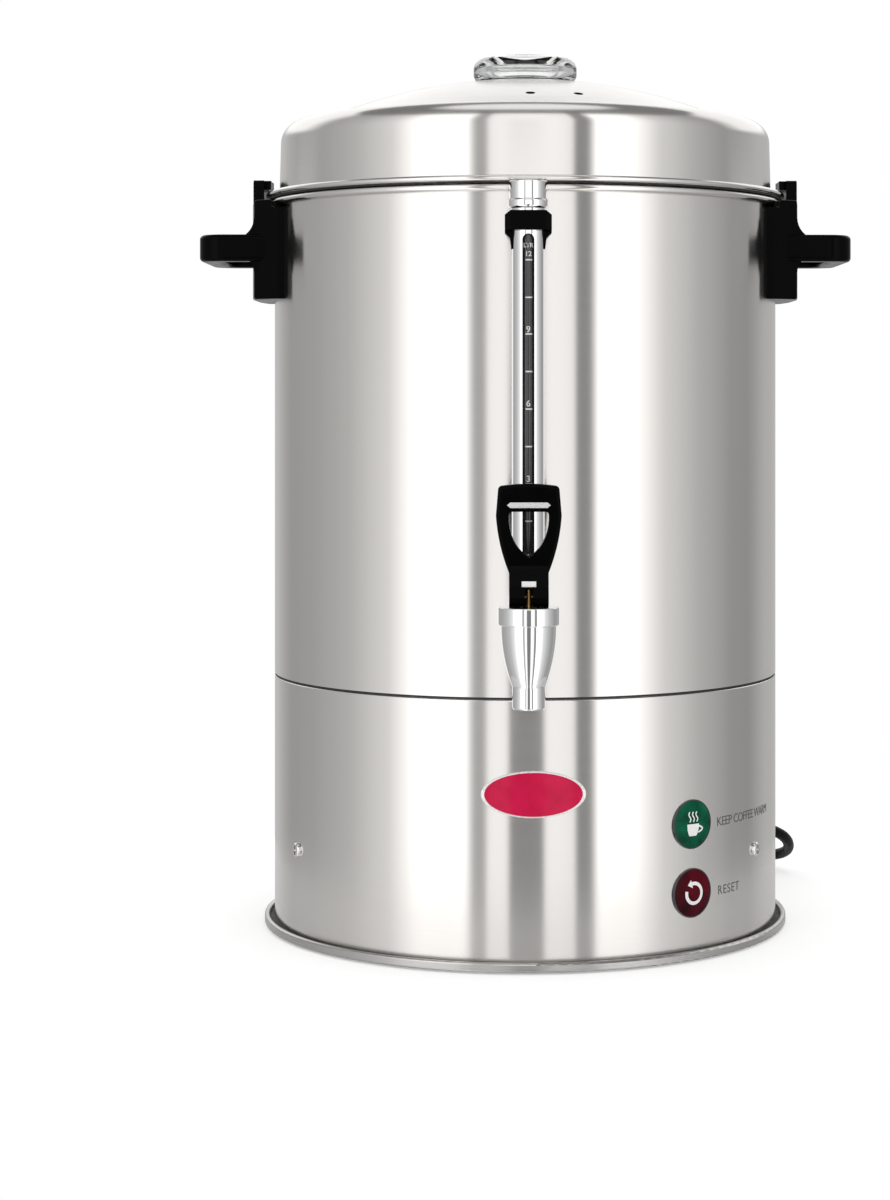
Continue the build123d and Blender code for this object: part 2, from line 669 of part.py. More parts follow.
# Lid ----------------------------------------------------------------------------------------

NOTCH_HALF_Y = 13.0
VENT_R = 106.0
VENT_AZ = (1.05, 16.2)
KNOB_HOLE_R = 24.0
DOME_MIDDLE = LID_TOP - DOME_R


def lid_outline(inset):
    """The lid's side from its flange to the knob's hole, moved inwards by inset: a slightly
    conical wall, a round shoulder, a narrow flat ring and a dome."""
    wall = (LID_WALL_R - inset, LID_FLANGE_Z + 0.2)
    neck = (LID_NECK_R - inset, SHOULDER_Z - SHOULDER_R)
    middle_r = LID_NECK_R - SHOULDER_R
    round_r = SHOULDER_R - inset
    half_way = (middle_r + round_r * cos(pi / 4), SHOULDER_Z - SHOULDER_R + round_r * sin(pi / 4))
    flat_z = SHOULDER_Z - inset
    dome_r = DOME_R - inset
    foot_r = sqrt(dome_r**2 - (flat_z - DOME_MIDDLE) ** 2)
    between = (foot_r + KNOB_HOLE_R) / 2
    return [
        Line(wall, neck),
        ThreePointArc(neck, half_way, (middle_r, flat_z)),
        Line((middle_r, flat_z), (foot_r, flat_z)),
        ThreePointArc(
            (foot_r, flat_z),
            (between, DOME_MIDDLE + sqrt(dome_r**2 - between**2)),
            (KNOB_HOLE_R, DOME_MIDDLE + sqrt(dome_r**2 - KNOB_HOLE_R**2)),
        ),
    ]


def make_lid_shell():
    outer = lid_outline(0.0)
    inner = lid_outline(SHEET)
    plate_z = LID_FLANGE_Z + 0.2
    shell = turned(
        *outer,
        Line(outer[-1] @ 1, inner[-1] @ 1),
        *inner,
        Line(inner[0] @ 0, outer[0] @ 0),
    )
    shell += tube(LID_FLANGE_R - 1.65, LID_WALL_R - SHEET, plate_z, plate_z + SHEET)
    shell += Pos(0, 0, LID_FLANGE_Z + 1.65) * Torus(LID_FLANGE_R - 1.65, 1.65)
    shell += tube(LID_WALL_R + 1.0, LID_WALL_R + 0.2, 430.0, plate_z + 0.3)
    notch = tube(LID_FLANGE_R + 5, HOOK_X - 0.6, LID_FLANGE_Z - 1, LID_FLANGE_Z + 6)
    shell -= notch & Pos(0, 0, LID_FLANGE_Z) * Box(400, 2 * NOTCH_HALF_Y, 20)
    for azimuth in VENT_AZ:
        at = outward(azimuth, 0, VENT_R).origin
        shell -= Pos(at.X, at.Y, 0) * tube(2.75, 0, 470, 520)
    return shell


def dome_ball(radius):
    return Pos(0, 0, DOME_MIDDLE) * Sphere(radius)


def make_knob_gasket():
    return tube(KNOB_R - 3.5, KNOB_HOLE_R, LID_TOP - 4, KNOB_BASE - 0.02) - dome_ball(DOME_R + 0.02)


def make_knob():
    """Hollow glass: a thick wall, a softly domed top, a neck through the hole of the lid."""
    base = KNOB_BASE
    return turned(
        ThreePointArc((KNOB_R - 4.5, base), (KNOB_R - 1.3, base + 1.3), (KNOB_R, base + 4.5)),
        Line((KNOB_R, base + 4.5), (KNOB_R, base + 8.0)),
        ThreePointArc((KNOB_R, base + 8.0), (KNOB_R - 1.7, base + 12.0), (KNOB_R - 6.0, base + 13.9)),
        cap_arc(KNOB_R - 6.0, base + 13.9, KNOB_TOP),
        Line((0, KNOB_TOP), (0, KNOB_TOP - 3.4)),
        cap_arc(KNOB_HOLE_R - 3.5, base + 8.5, KNOB_TOP - 3.4),
        Line((KNOB_HOLE_R - 3.5, base + 8.5), (KNOB_HOLE_R - 3.5, LID_TOP - 8)),
        Line((KNOB_HOLE_R - 3.5, LID_TOP - 8), (KNOB_HOLE_R - 0.1, LID_TOP - 8)),
        Line((KNOB_HOLE_R - 0.1, LID_TOP - 8), (KNOB_HOLE_R - 0.1, base)),
        Line((KNOB_HOLE_R - 0.1, base), (KNOB_R - 4.5, base)),
    )


def make_knob_nut():
    nut = tube(KNOB_HOLE_R + 6, KNOB_HOLE_R - 0.08, LID_TOP - 7.5, LID_TOP)
    return nut & dome_ball(DOME_R - SHEET - 0.02)


def make_lid_seal():
    top = RIM_Z + RIM_BEAD_R
    return tube(TANK_R + 3.6, LID_WALL_R + 1.9, top + 0.3, LID_FLANGE_Z - 0.3)


# Cord ---------------------------------------------------------------------------------------

RELIEF_LENGTH = 21.0
COIL_CENTRE = (-15.0, 222.0)
COIL_LOW_Z = 4.5        # height of the lower layer's cord centre
TURN_RADII = (42.0, 28.0)    # centre line of the outermost and of the innermost turn
STUB = 25.0             # straight lead of the coil before its first and after its last turn

CORD_ROUTE = (
    (143.84, 97.02, CORD_Z),
    (157.1, 106.0, CORD_Z),
    (174.5, 121.0, 28.0),
    (178.0, 146.0, 14.0),
    (164.0, 170.0, 7.0),
    (132.0, 182.0, 4.5),
    (90.0, 184.0, 4.5),
    (50.0, 180.0, 4.5),
    (10.0, 180.0, 4.5),
)


def corner_radii(route):
    """The largest arc that each corner of a route has room for."""
    points = [Vector(*p) for p in route]
    radii = []
    for before, at, after in zip(points, points[1:], points[2:]):
        first = at - before
        second = after - at
        turn = radians(first.get_angle(second))
        radii.append(0.45 * min(first.length, second.length) / tan(turn / 2))
    return radii


def make_cord():
    radii = corner_radii(CORD_ROUTE)
    print("cord arcs, mm:", [round(r) for r in radii])
    path = FilletPolyline(*CORD_ROUTE, radius=radii)
    start = Plane(origin=path @ 0, z_dir=path % 0)
    cord = sweep(start * Circle(CORD_D / 2), path=path, transition=Transition.RIGHT)
    print("cord length", round(path.length), "volume ratio",
          round(cord.volume / (path.length * pi * CORD_D**2 / 4), 3))
    return cord


def make_relief():
    """The rubber sleeve that carries the cord out of the skirt, held by a groove in the hole."""
    r0 = TANK_R - SHEET
    sleeve = revolve(
        Plane.XZ
        * make_face(
            Polyline(
                (0, r0 - 6), (RELIEF_NECK_R + 2, r0 - 6), (RELIEF_NECK_R + 2, r0 - 0.3),
                (RELIEF_NECK_R - 0.02, r0 - 0.3), (RELIEF_NECK_R - 0.02, TANK_R + 0.3),
                (RELIEF_NECK_R + 2, TANK_R + 0.3), (RELIEF_NECK_R + 2, TANK_R + 2.6),
                (RELIEF_NECK_R + 0.6, TANK_R + 3.4), (CORD_D / 2 + 0.9, TANK_R + RELIEF_LENGTH),
                (0, TANK_R + RELIEF_LENGTH), close=True,
            )
        ),
        Axis.Z,
    )
    return outward(CORD_AZ, CORD_Z, 0) * sleeve


def make_coil():
    """The outer shape of the put-away length: a ring of four spiral turns in two layers, with its ends."""
    half = CORD_D / 2
    height = 2 * CORD_D
    low = COIL_LOW_Z - half
    ring = tube(TURN_RADII[0] + half, TURN_RADII[1] - half, low, low + height)
    ring = fillet(ring.edges().filter_by(GeomType.CIRCLE), 2.5)
    ring = Pos(*COIL_CENTRE, 0) * ring
    near = COIL_CENTRE[1] - TURN_RADII[0]
    first = Pos(COIL_CENTRE[0] + STUB / 2, near, COIL_LOW_Z) * Rot(0, 90, 0) * Cylinder(half, STUB)
    last = Pos(COIL_CENTRE[0] - STUB / 2, near, COIL_LOW_Z + CORD_D) * Rot(0, 90, 0) * Cylinder(half, STUB)
    return ring + first + last


def make_cord_tie():
    """A band round the coil's section on its far side."""
    half = CORD_D / 2
    middle = COIL_CENTRE[1] + sum(TURN_RADII) / 2
    low = COIL_LOW_Z - half
    width = TURN_RADII[0] - TURN_RADII[1] + CORD_D + 0.9
    band = Box(8, width + 2.2, 2 * CORD_D + 2) - Box(9, width, 2 * CORD_D + 0.1)
    return Pos(COIL_CENTRE[0], middle, low + CORD_D) * band


PLUG_LENGTH = 34.0
PLUG_HALF_Y = 13.0
PLUG_AXIS_Z = COIL_LOW_Z + CORD_D
PLUG_TAIL = 22.0


def plug_origin():
    """The middle of the plug's rear end, where the cord enters. The plug points along -X."""
    return (COIL_CENTRE[0] - STUB, COIL_CENTRE[1] - TURN_RADII[0], PLUG_AXIS_Z)


def make_plug():
    x, y, z = plug_origin()
    taper = turned_points((0, 0), (CORD_D / 2 + 0.7, 0), (6.5, PLUG_TAIL), (0, PLUG_TAIL))
    taper = Rot(0, -90, 0) * taper
    face = RectangleRounded(2 * PLUG_AXIS_Z - 0.6, 2 * PLUG_HALF_Y, 5)
    rear = Plane(origin=(-PLUG_TAIL + 1, 0, 0), x_dir=(0, 0, 1), z_dir=(-1, 0, 0))
    body = extrude(rear * face, PLUG_LENGTH)
    body = fillet(body.edges().sort_by(Axis.X)[-8:], 2.5)
    plug = Pos(x, y, z) * (taper + body)
    for hole in plug_blades(0.0):
        plug -= hole
    return plug


def plug_blades(inset):
    """Two flat blades side by side and a round earth pin, all reaching into the plug."""
    x, y, z = plug_origin()
    face_x = x - PLUG_TAIL + 1 - PLUG_LENGTH
    blades = []
    for side in (-6.35, 6.35):
        blades.append(Pos(face_x - 4, y + side, z - 4.0) * Box(28, 1.5 - inset, 6.35 - inset))
    earth = Pos(face_x - 5.5, y, z + 6.0) * Rot(0, 90, 0) * Cylinder(2.4 - inset, 31)
    return blades + [earth]


def make_plug_pins():
    return Compound(children=plug_blades(0.02))


# Write every piece --------------------------------------------------------------------------


def main():
    right = make_handle()
    pieces = {
        "urn_tank": make_tank(),
        "base_skirt": make_skirt(),
        "seam_gasket": make_seam_gasket(),
        "base_tray": make_tray(),
        "tray_seal": make_tray_seal(),
        "foot_ring": make_foot_ring(),
        "skirt_screws": make_skirt_screws(),
        "handle_right": right,
        "handle_left": Rot(0, 0, 180) * right,
        "handle_screws": make_handle_screws(),
        "gauge_shield": make_shield(),
        "gauge_tube": make_gauge_tube(),
        "gauge_seal": make_gauge_seal(),
        "gauge_collar": make_collar(),
        "gauge_cap": make_gauge_cap(),
        "gauge_screw": make_gauge_screw(),
        "tap_shank": make_shank(),
        "tap_nut": make_tap_nut(),
        "shank_gasket_outer": make_outer_gasket(),
        "shank_gasket_inner": make_inner_gasket(),
        "tap_body": make_tap_body(),
        "tap_bonnet": make_bonnet(),
        "tap_stem": make_stem(),
        "stem_pin": make_stem_pin(),
        "seat_cup": make_seat_cup(),
        "tap_spring": make_spring(),
        "tap_lever": make_lever(),
        "lever_clip": make_lever_clip(),
        "badge": make_badge(),
        "warm_bezel": make_bezel(WARM_Z),
        "warm_lens": make_lens(WARM_Z, LENS_R, 148.4),
        "warm_lamp_holder": make_light_body(WARM_Z, 0.0),
        "reset_bezel": make_bezel(RESET_Z),
        "reset_button": make_button(),
        "reset_switch": make_light_body(RESET_Z, 4.35),
        "brew_heater": make_brew_heater(),
        "keep_warm_heater": make_keep_warm_heater(),
        "thermostat": make_thermostat(),
        "thermal_cutout": make_cutout(),
        "terminal_block": make_terminal_block(),
        "pump_foot": make_pump_foot(),
        "pump_valve": make_pump_valve(),
        "pump_tube": make_pump_tube(),
        "coffee_basket": make_basket(),
        "basket_lid": make_basket_lid(),
        "lid_shell": make_lid_shell(),
        "knob_gasket": make_knob_gasket(),
        "lid_knob": make_knob(),
        "knob_nut": make_knob_nut(),
        "lid_seal_ring": make_lid_seal(),
        "strain_relief": make_relief(),
        "power_cord": make_cord(),
        "cord_coil": make_coil(),
        "cord_tie": make_cord_tie(),
        "plug_body": make_plug(),
        "plug_pins": make_plug_pins(),
    }
    os.makedirs("parts", exist_ok=True)
    for name, solid in pieces.items():
        export_step(solid, f"parts/{name}.step")


if __name__ == "__main__":
    main()
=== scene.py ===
from math import cos, degrees, pi, radians, sin

import bpy
import numpy as np
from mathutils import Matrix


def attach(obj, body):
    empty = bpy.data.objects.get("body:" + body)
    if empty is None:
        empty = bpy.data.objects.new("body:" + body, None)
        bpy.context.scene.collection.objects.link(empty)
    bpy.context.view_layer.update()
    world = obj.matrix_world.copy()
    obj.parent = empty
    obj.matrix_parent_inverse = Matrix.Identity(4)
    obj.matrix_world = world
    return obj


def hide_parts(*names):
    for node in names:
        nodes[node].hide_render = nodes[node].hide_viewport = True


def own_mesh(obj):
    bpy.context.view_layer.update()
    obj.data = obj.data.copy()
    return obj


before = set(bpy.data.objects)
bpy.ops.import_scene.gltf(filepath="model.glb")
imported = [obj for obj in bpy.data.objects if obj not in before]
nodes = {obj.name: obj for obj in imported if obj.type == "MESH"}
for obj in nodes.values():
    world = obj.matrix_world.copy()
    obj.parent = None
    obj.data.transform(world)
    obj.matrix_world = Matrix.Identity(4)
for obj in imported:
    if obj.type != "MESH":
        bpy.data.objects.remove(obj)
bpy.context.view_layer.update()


# Camera -------------------------------------------------------------------------------------
# A long lens at a third of a metre over the table, level, 1.6 m from the urn's axis. The frame
# is shifted down and to the left, so the urn stands right of the middle with table under it.

lens = bpy.data.cameras.new("camera")
lens.lens = 78.45
lens.sensor_width = 36.0
lens.shift_x = -0.0668
lens.shift_y = -0.175
lens.clip_end = 50.0
camera = bpy.data.objects.new("camera", lens)
camera.location = (-0.0160, -1.6009, 0.3229)
camera.rotation_euler = (radians(90), 0, radians(-0.573))
bpy.context.scene.collection.objects.link(camera)
bpy.context.scene.camera = camera


# Materials, meshes and pieces ---------------------------------------------------------------


def shader(name, colour, roughness, metallic=0.0, **constants):
    """A new material with one shader. Constants go on the shader's own sockets by their names."""
    made = bpy.data.materials.new(name)
    made.use_nodes = True
    surface = made.node_tree.nodes["Principled BSDF"]
    surface.inputs["Base Color"].default_value = (*colour, 1.0)
    surface.inputs["Roughness"].default_value = roughness
    surface.inputs["Metallic"].default_value = metallic
    for key, value in constants.items():
        surface.inputs[key.replace("_", " ")].default_value = value
    made.diffuse_color = (*colour, 1.0)
    return made


def grain(made, scale, detail=4.0):
    """A noise on the piece's own coordinates, stretched by a scale for each axis, in 1/m."""
    tree = made.node_tree
    place = tree.nodes.new("ShaderNodeTexCoord")
    stretch = tree.nodes.new("ShaderNodeMapping")
    stretch.inputs["Scale"].default_value = scale
    noise = tree.nodes.new("ShaderNodeTexNoise")
    noise.inputs["Scale"].default_value = 1.0
    noise.inputs["Detail"].default_value = detail
    tree.links.new(place.outputs["Object"], stretch.inputs["Vector"])
    tree.links.new(stretch.outputs["Vector"], noise.inputs["Vector"])
    return noise.outputs["Fac"]


def spread(made, source, low, high, socket, start=0.3, end=0.7):
    """The shader's socket runs from low to high as the noise runs from start to end."""
    tree = made.node_tree
    surface = tree.nodes["Principled BSDF"]
    if isinstance(low, tuple):
        ramp = tree.nodes.new("ShaderNodeValToRGB")
        ramp.color_ramp.elements[0].position = start
        ramp.color_ramp.elements[0].color = (*low, 1.0)
        ramp.color_ramp.elements[1].position = end
        ramp.color_ramp.elements[1].color = (*high, 1.0)
        tree.links.new(source, ramp.inputs["Fac"])
        tree.links.new(ramp.outputs["Color"], surface.inputs[socket])
    else:
        ramp = tree.nodes.new("ShaderNodeMapRange")
        for key, value in (("From Min", start), ("From Max", end), ("To Min", low), ("To Max", high)):
            ramp.inputs[key].default_value = value
        tree.links.new(source, ramp.inputs["Value"])
        tree.links.new(ramp.outputs["Result"], surface.inputs[socket])


def relief(made, source, depth, strength=0.5):
    """The surface rises by depth, in metres, where the noise is 1."""
    tree = made.node_tree
    bump = tree.nodes.new("ShaderNodeBump")
    bump.inputs["Strength"].default_value = strength
    bump.inputs["Distance"].default_value = depth
    surface = tree.nodes["Principled BSDF"]
    if surface.inputs["Normal"].is_linked:
        tree.links.new(surface.inputs["Normal"].links[0].from_socket, bump.inputs["Normal"])
    tree.links.new(source, bump.inputs["Height"])
    tree.links.new(bump.outputs["Normal"], surface.inputs["Normal"])


def wear(made, *names):
    """These CAD nodes take the material."""
    for name in names:
        for slot in nodes[name].material_slots:
            slot.material = made


def piece(name, mesh_or_curve, made, body, stands_for=()):
    """A new piece with its material, on a body, in place of the CAD nodes that it stands for."""
    built = bpy.data.objects.new(name, mesh_or_curve)
    bpy.context.scene.collection.objects.link(built)
    built.data.materials.append(made)
    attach(built, body)
    if stands_for:
        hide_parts(*stands_for)
    return built


def smooth_mesh(name, points, faces, sharp=None):
    """A mesh that is shaded smooth, but for its edges over the sharp angle, in degrees."""
    mesh = bpy.data.meshes.new(name)
    mesh.from_pydata(points, [], faces)
    mesh.shade_smooth()
    if sharp is not None:
        mesh.set_sharp_from_angle(angle=radians(sharp))
    return mesh


def grid_faces(rows, columns, ring_rows=False, ring_columns=False, turned_over=False):
    """The quads of a grid of points that are numbered row by row. Each goes from its point to
    the next row and then the next column, or the other way round if it is turned over. Along
    a ring the last quads lead back to the first points."""
    row, column = np.meshgrid(np.arange(rows if ring_rows else rows - 1),
                              np.arange(columns if ring_columns else columns - 1), indexing="ij")
    row2, column2 = (row + 1) % rows, (column + 1) % columns
    corners = ((row, column), (row2, column), (row2, column2), (row, column2))
    quads = np.stack([i * columns + j for i, j in corners], axis=-1).reshape(-1, 4)
    if turned_over:
        quads = quads[:, [0, 3, 2, 1]]
    return quads.tolist()


def joined(parts):
    """The points and the faces of several flat shapes as those of one."""
    points, faces, first = [], [], 0
    for flat, shape in parts:
        points.append(flat)
        faces += [tuple(int(k) + first for k in face) for face in shape]
        first += len(flat)
    return np.vstack(points), faces


# Mains cord ---------------------------------------------------------------------------------
# A three-core rubber cord, 7 mm thick and 1.18 m long. It leaves the skirt at the right of the
# back, loops down to the table and is wound into a coil of four turns that ends in its plug.

CORD_D = 0.007
CORD_LOW_Z = 0.0045
rubber = shader("cord_rubber", (0.004, 0.004, 0.0045), 0.34, Specular_IOR_Level=0.07)
spread(rubber, grain(rubber, (300, 300, 300)), 0.26, 0.44, "Roughness")
relief(rubber, grain(rubber, (1400, 1400, 1400), 2.0), 0.00008)

CORD_ROUTE = (
    (0.14384, 0.09702, 0.0380), (0.1571, 0.1060, 0.0380), (0.1745, 0.1210, 0.0280),
    (0.1780, 0.1460, 0.0140), (0.1640, 0.1700, 0.0070), (0.1320, 0.1820, CORD_LOW_Z),
    (0.0900, 0.1840, CORD_LOW_Z), (0.0500, 0.1800, CORD_LOW_Z), (0.0100, 0.1800, CORD_LOW_Z),
    (-0.0150, 0.1800, CORD_LOW_Z),
)
COIL_CENTRE = (-0.0150, 0.2220)
COIL_INNER_R = 0.028


def coil_turns(per_turn=16):
    """Control points of two turns in and two turns out. The radius falls by a cord's width in
    each turn of the lower layer and grows by it in each turn of the upper one. The line runs
    inside its control points, by the share that they are moved out for."""
    turn = np.arange(1, 4 * per_turn + 1) / per_turn
    radius = COIL_INNER_R + CORD_D * np.abs(turn - 2)
    radius = radius / (0.75 + 0.25 * cos(2 * pi / per_turn))
    height = CORD_LOW_Z + CORD_D * np.clip((turn - 1.9) / 0.2, 0, 1)
    angle = -pi / 2 - 2 * pi * turn
    return np.column_stack((COIL_CENTRE[0] + radius * np.cos(angle),
                            COIL_CENTRE[1] + radius * np.sin(angle), height))


def cord_line(name, points, thickness):
    """A smooth line with the points as its control points, and a round section."""
    line = bpy.data.curves.new(name, "CURVE")
    line.dimensions = "3D"
    spline = line.splines.new("NURBS")
    spline.points.add(len(points) - 1)
    flat = np.column_stack((points, np.ones(len(points)))).ravel()
    spline.points.foreach_set("co", flat.astype(np.float32))
    spline.order_u = 3
    spline.use_endpoint_u = True
    line.resolution_u = 8
    line.bevel_depth = thickness / 2
    line.bevel_resolution = 6
    return line


lead_out = ((-0.0275, 0.1800, 0.0115), (-0.0400, 0.1800, 0.0115))
cord_points = np.vstack((CORD_ROUTE, coil_turns(), lead_out))
cord = piece("mains_cord", cord_line("mains_cord", cord_points, CORD_D), rubber, "urn",
             ("power_cord", "cord_coil"))

wear(rubber, "strain_relief", "plug_body", "cord_tie")
pin_brass = shader("pin_brass", (0.72, 0.62, 0.42), 0.22, 1.0)
spread(pin_brass, grain(pin_brass, (40, 900, 900)), 0.16, 0.34, "Roughness")
wear(pin_brass, "plug_pins")


# Tank ---------------------------------------------------------------------------------------
# Drawn stainless sheet, polished round on a lathe, so its fine grain runs round the wall and
# smears what it mirrors up and down. The rim is rolled into a bead for the lid to sit over.

TANK_R = 0.1525
SHEET = 0.0008
SHEET_SHARP = 32


def brushed(name, colour=(0.76, 0.74, 0.715), roughness=0.17, across=0.92):
    """Stainless with its grain along the u of the piece's own map, which runs round the wall."""
    made = shader(name, colour, roughness, 1.0, Anisotropic=across, Anisotropic_Rotation=0.25)
    tree = made.node_tree
    along = tree.nodes.new("ShaderNodeTangent")
    along.direction_type = "UV_MAP"
    along.uv_map = "wall"
    tree.links.new(along.outputs["Tangent"], tree.nodes["Principled BSDF"].inputs["Tangent"])
    spread(made, grain(made, (5, 5, 2600), 3.0), roughness - 0.015, roughness + 0.015, "Roughness")
    streak = grain(made, (70, 70, 1.5), 5.0)
    spread(made, streak, tuple(c * 0.975 for c in colour), colour, "Base Color")
    relief(made, grain(made, (4, 4, 1700), 2.0), 0.00002, 0.1)
    return made


def turned_sheet(name, profile, angles=256, reach=None):
    """A closed section turned about the urn's axis. Point (i, j) stands at the section's radius
    j from the axis, at the angle i from the front, at the section's height j. Where a reach is
    given for each angle, the radius is no more than that."""
    section = np.asarray(profile, float)
    gap = np.linalg.norm(section - np.roll(section, 1, axis=0), axis=1)
    section = section[gap > 1e-6]
    angle = 2 * pi * np.arange(angles) / angles if np.isscalar(angles) else angles
    steps, count = len(angle), len(section)
    out = np.broadcast_to(section[:, 0], (steps, count))
    if reach is not None:
        out = np.minimum(out, reach[:, None])
    x = np.sin(angle)[:, None] * out
    y = -np.cos(angle)[:, None] * out
    z = np.broadcast_to(section[:, 1], x.shape)
    points = np.stack((x, y, z), axis=-1).reshape(-1, 3)
    mesh = smooth_mesh(name, points, grid_faces(steps, count, True, True), SHEET_SHARP)
    i, j = np.meshgrid(np.arange(steps), np.arange(count), indexing="ij")
    step_lengths = np.linalg.norm(np.diff(section, axis=0), axis=1)
    length = np.concatenate(([0], np.cumsum(step_lengths), [1.0]))
    u = np.stack((i, i + 1, i + 1, i), axis=-1) / steps
    v = np.stack((length[j], length[j], length[j + 1], length[j + 1]), axis=-1)
    wall_map = mesh.uv_layers.new(name="wall")
    wall_map.data.foreach_set("uv", np.stack((u, v), axis=-1).astype(np.float32).ravel())
    return mesh


def drilled(mesh, holes, around=48):
    """The mesh with round holes cut through it. A hole is its start, two unit vectors across it
    whose cross product points along it, its radius and its depth."""
    body = bpy.data.objects.new("drilled", mesh)
    bpy.context.scene.collection.objects.link(body)
    cutters = []
    for start, across, up, radius, depth in holes:
        turn = 2 * pi * np.arange(around) / around
        ring = np.array(start) + radius * (np.outer(np.cos(turn), across) + np.outer(np.sin(turn), up))
        k = np.arange(around)
        sides = np.column_stack((k, (k + 1) % around, (k + 1) % around + around, k + around)).tolist()
        ends = [tuple(range(around - 1, -1, -1)), tuple(range(around, 2 * around))]
        drill = bpy.data.meshes.new("drill")
        drill.from_pydata(np.vstack((ring, ring + depth * np.cross(across, up))), [], sides + ends)
        cutter = bpy.data.objects.new("drill", drill)
        bpy.context.scene.collection.objects.link(cutter)
        cutters.append(cutter)
        cut = body.modifiers.new("hole", "BOOLEAN")
        cut.operation = "DIFFERENCE"
        cut.solver = "EXACT"
        cut.object = cutter
    bpy.context.view_layer.update()
    result = bpy.data.meshes.new_from_object(body.evaluated_get(bpy.context.evaluated_depsgraph_get()))
    for extra in [body] + cutters:
        bpy.data.objects.remove(extra)
    result.set_sharp_from_angle(angle=radians(SHEET_SHARP))
    return result


def bead(radius, height, size, start, end, steps=20):
    """An arc of a rolled edge: centre (radius, height), size its radius, angles from outwards."""
    angle = np.radians(np.linspace(start, end, steps))
    return np.column_stack((radius + size * np.cos(angle), height + size * np.sin(angle)))


steel = brushed("brushed_stainless")
tank_section = np.vstack((
    ((TANK_R, 0.1524), (TANK_R, 0.160), (TANK_R, 0.300), (TANK_R, 0.4342)),
    bead(TANK_R + 0.0018, 0.4353, 0.0021, -125, 150),
    ((TANK_R - SHEET, 0.4350), (TANK_R - SHEET, 0.300), (TANK_R - SHEET, 0.1620)),
    bead(TANK_R - SHEET - 0.002, 0.1620, 0.002, 0, -90, 6),
    ((0.080, 0.1600), (0.0365, 0.1600), (0.0360, 0.1594), (0.0360, 0.1320), (0.0345, 0.1300),
     (0.0002, 0.1300), (0.0002, 0.1292), (0.0350, 0.1292), (0.0368, 0.1310), (0.0368, 0.1585),
     (0.0375, 0.1592), (0.1500, 0.1592), (TANK_R - SHEET, 0.1585), (TANK_R - SHEET, 0.1524)),
))
piece("tank_wall", turned_sheet("tank_wall", tank_section), steel, "urn", ("urn_tank",))


# Skirt --------------------------------------------------------------------------------------
# The same sheet, welded to a step under the tank, with a black gasket in the seam between them that
# stands in for the shade in the seam: painted shade. Its foot stands in the tray.

skirt_section = np.vstack((
    ((TANK_R, 0.0020), (TANK_R, 0.0750), (TANK_R, 0.1499)),
    bead(TANK_R - 0.0009, 0.1502, 0.0009, 0, 90, 6),
    ((0.1516, 0.1512), (0.1516, 0.1580), (0.1508, 0.1580), (0.1508, 0.1505), (0.1517, 0.1496),
     (0.1517, 0.0750), (0.1517, 0.0020)),
))
LIGHT_AZ = 37.7
WARM_Z = 0.0770
RESET_Z = 0.0381
LIGHT_HOLE_R = 0.0138
DRILL_FROM_R = 0.145
DRILL_DEPTH = 0.015
lights_out = np.array((sin(radians(LIGHT_AZ)), -cos(radians(LIGHT_AZ)), 0))
lights_across = (cos(radians(LIGHT_AZ)), sin(radians(LIGHT_AZ)), 0)
skirt_mesh = drilled(turned_sheet("skirt_wall", skirt_section), [
    (DRILL_FROM_R * lights_out + (0, 0, height), lights_across, (0, 0, 1), LIGHT_HOLE_R,
     DRILL_DEPTH) for height in (WARM_Z, RESET_Z)])
skirt_mesh.name = "skirt_wall"
piece("skirt_wall", skirt_mesh, steel, "urn", ("base_skirt",))
black_rubber = shader("black_rubber", (0.010, 0.010, 0.010), 0.62)
spread(black_rubber, grain(black_rubber, (260, 260, 260)), 0.5, 0.72, "Roughness")
relief(black_rubber, grain(black_rubber, (1800, 1800, 1800), 2.0), 0.0001)
# The seam gasket's black is painted shade for the dark line of the seam; the other pieces here are real
# rubber.
wear(black_rubber, "seam_gasket", "tray_seal", "foot_ring", "shank_gasket_outer",
     "shank_gasket_inner", "gauge_seal", "knob_gasket", "lid_seal_ring")


# Tray ---------------------------------------------------------------------------------------
# A pressed stainless disc with a raised round rim that the skirt stands inside. Its underside
# has air slots and carries the rubber ring that the urn stands on.

tray_steel = shader("tray_stainless", (0.52, 0.51, 0.50), 0.22, 1.0)
spread(tray_steel, grain(tray_steel, (9, 9, 900)), 0.17, 0.31, "Roughness")
relief(tray_steel, grain(tray_steel, (6, 6, 1500), 2.0), 0.00002, 0.3)
wear(tray_steel, "base_tray")


# Skirt screws -------------------------------------------------------------------------------
# Three polished pan-head screws hold the skirt to the tabs of the tray.

screw_steel = shader("screw_steel", (0.80, 0.79, 0.78), 0.12, 1.0)
spread(screw_steel, grain(screw_steel, (500, 500, 500)), 0.08, 0.2, "Roughness")
wear(screw_steel, "skirt_screws", "handle_screws", "gauge_screw")
satin_steel = shader("satin_steel", (0.88, 0.88, 0.87), 0.45, 1.0)
spread(satin_steel, grain(satin_steel, (900, 900, 900)), 0.38, 0.52, "Roughness")
wear(satin_steel, "lever_clip")


# Handles ------------------------------------------------------------------------------------
# Moulded black phenolic, polished: a plate against the tank, a loop for the fingers and a hook
# that the lid's flange turns under. Two screws from inside the tank hold each.

phenolic = shader("black_phenolic", (0.0010, 0.0010, 0.0012), 0.16, Specular_IOR_Level=0.04)
spread(phenolic, grain(phenolic, (90, 90, 90)), 0.14, 0.26, "Roughness")
relief(phenolic, grain(phenolic, (260, 260, 260), 2.0), 0.00008, 0.25)
wear(phenolic, "handle_right", "handle_left", "gauge_collar", "tap_lever")


# Sight gauge --------------------------------------------------------------------------------
# A glass tube with white marks in a chrome shield with a long slot. A black collar screwed to
# the tank holds its top, with a polished cap over it; its foot stands on the tap's shank.

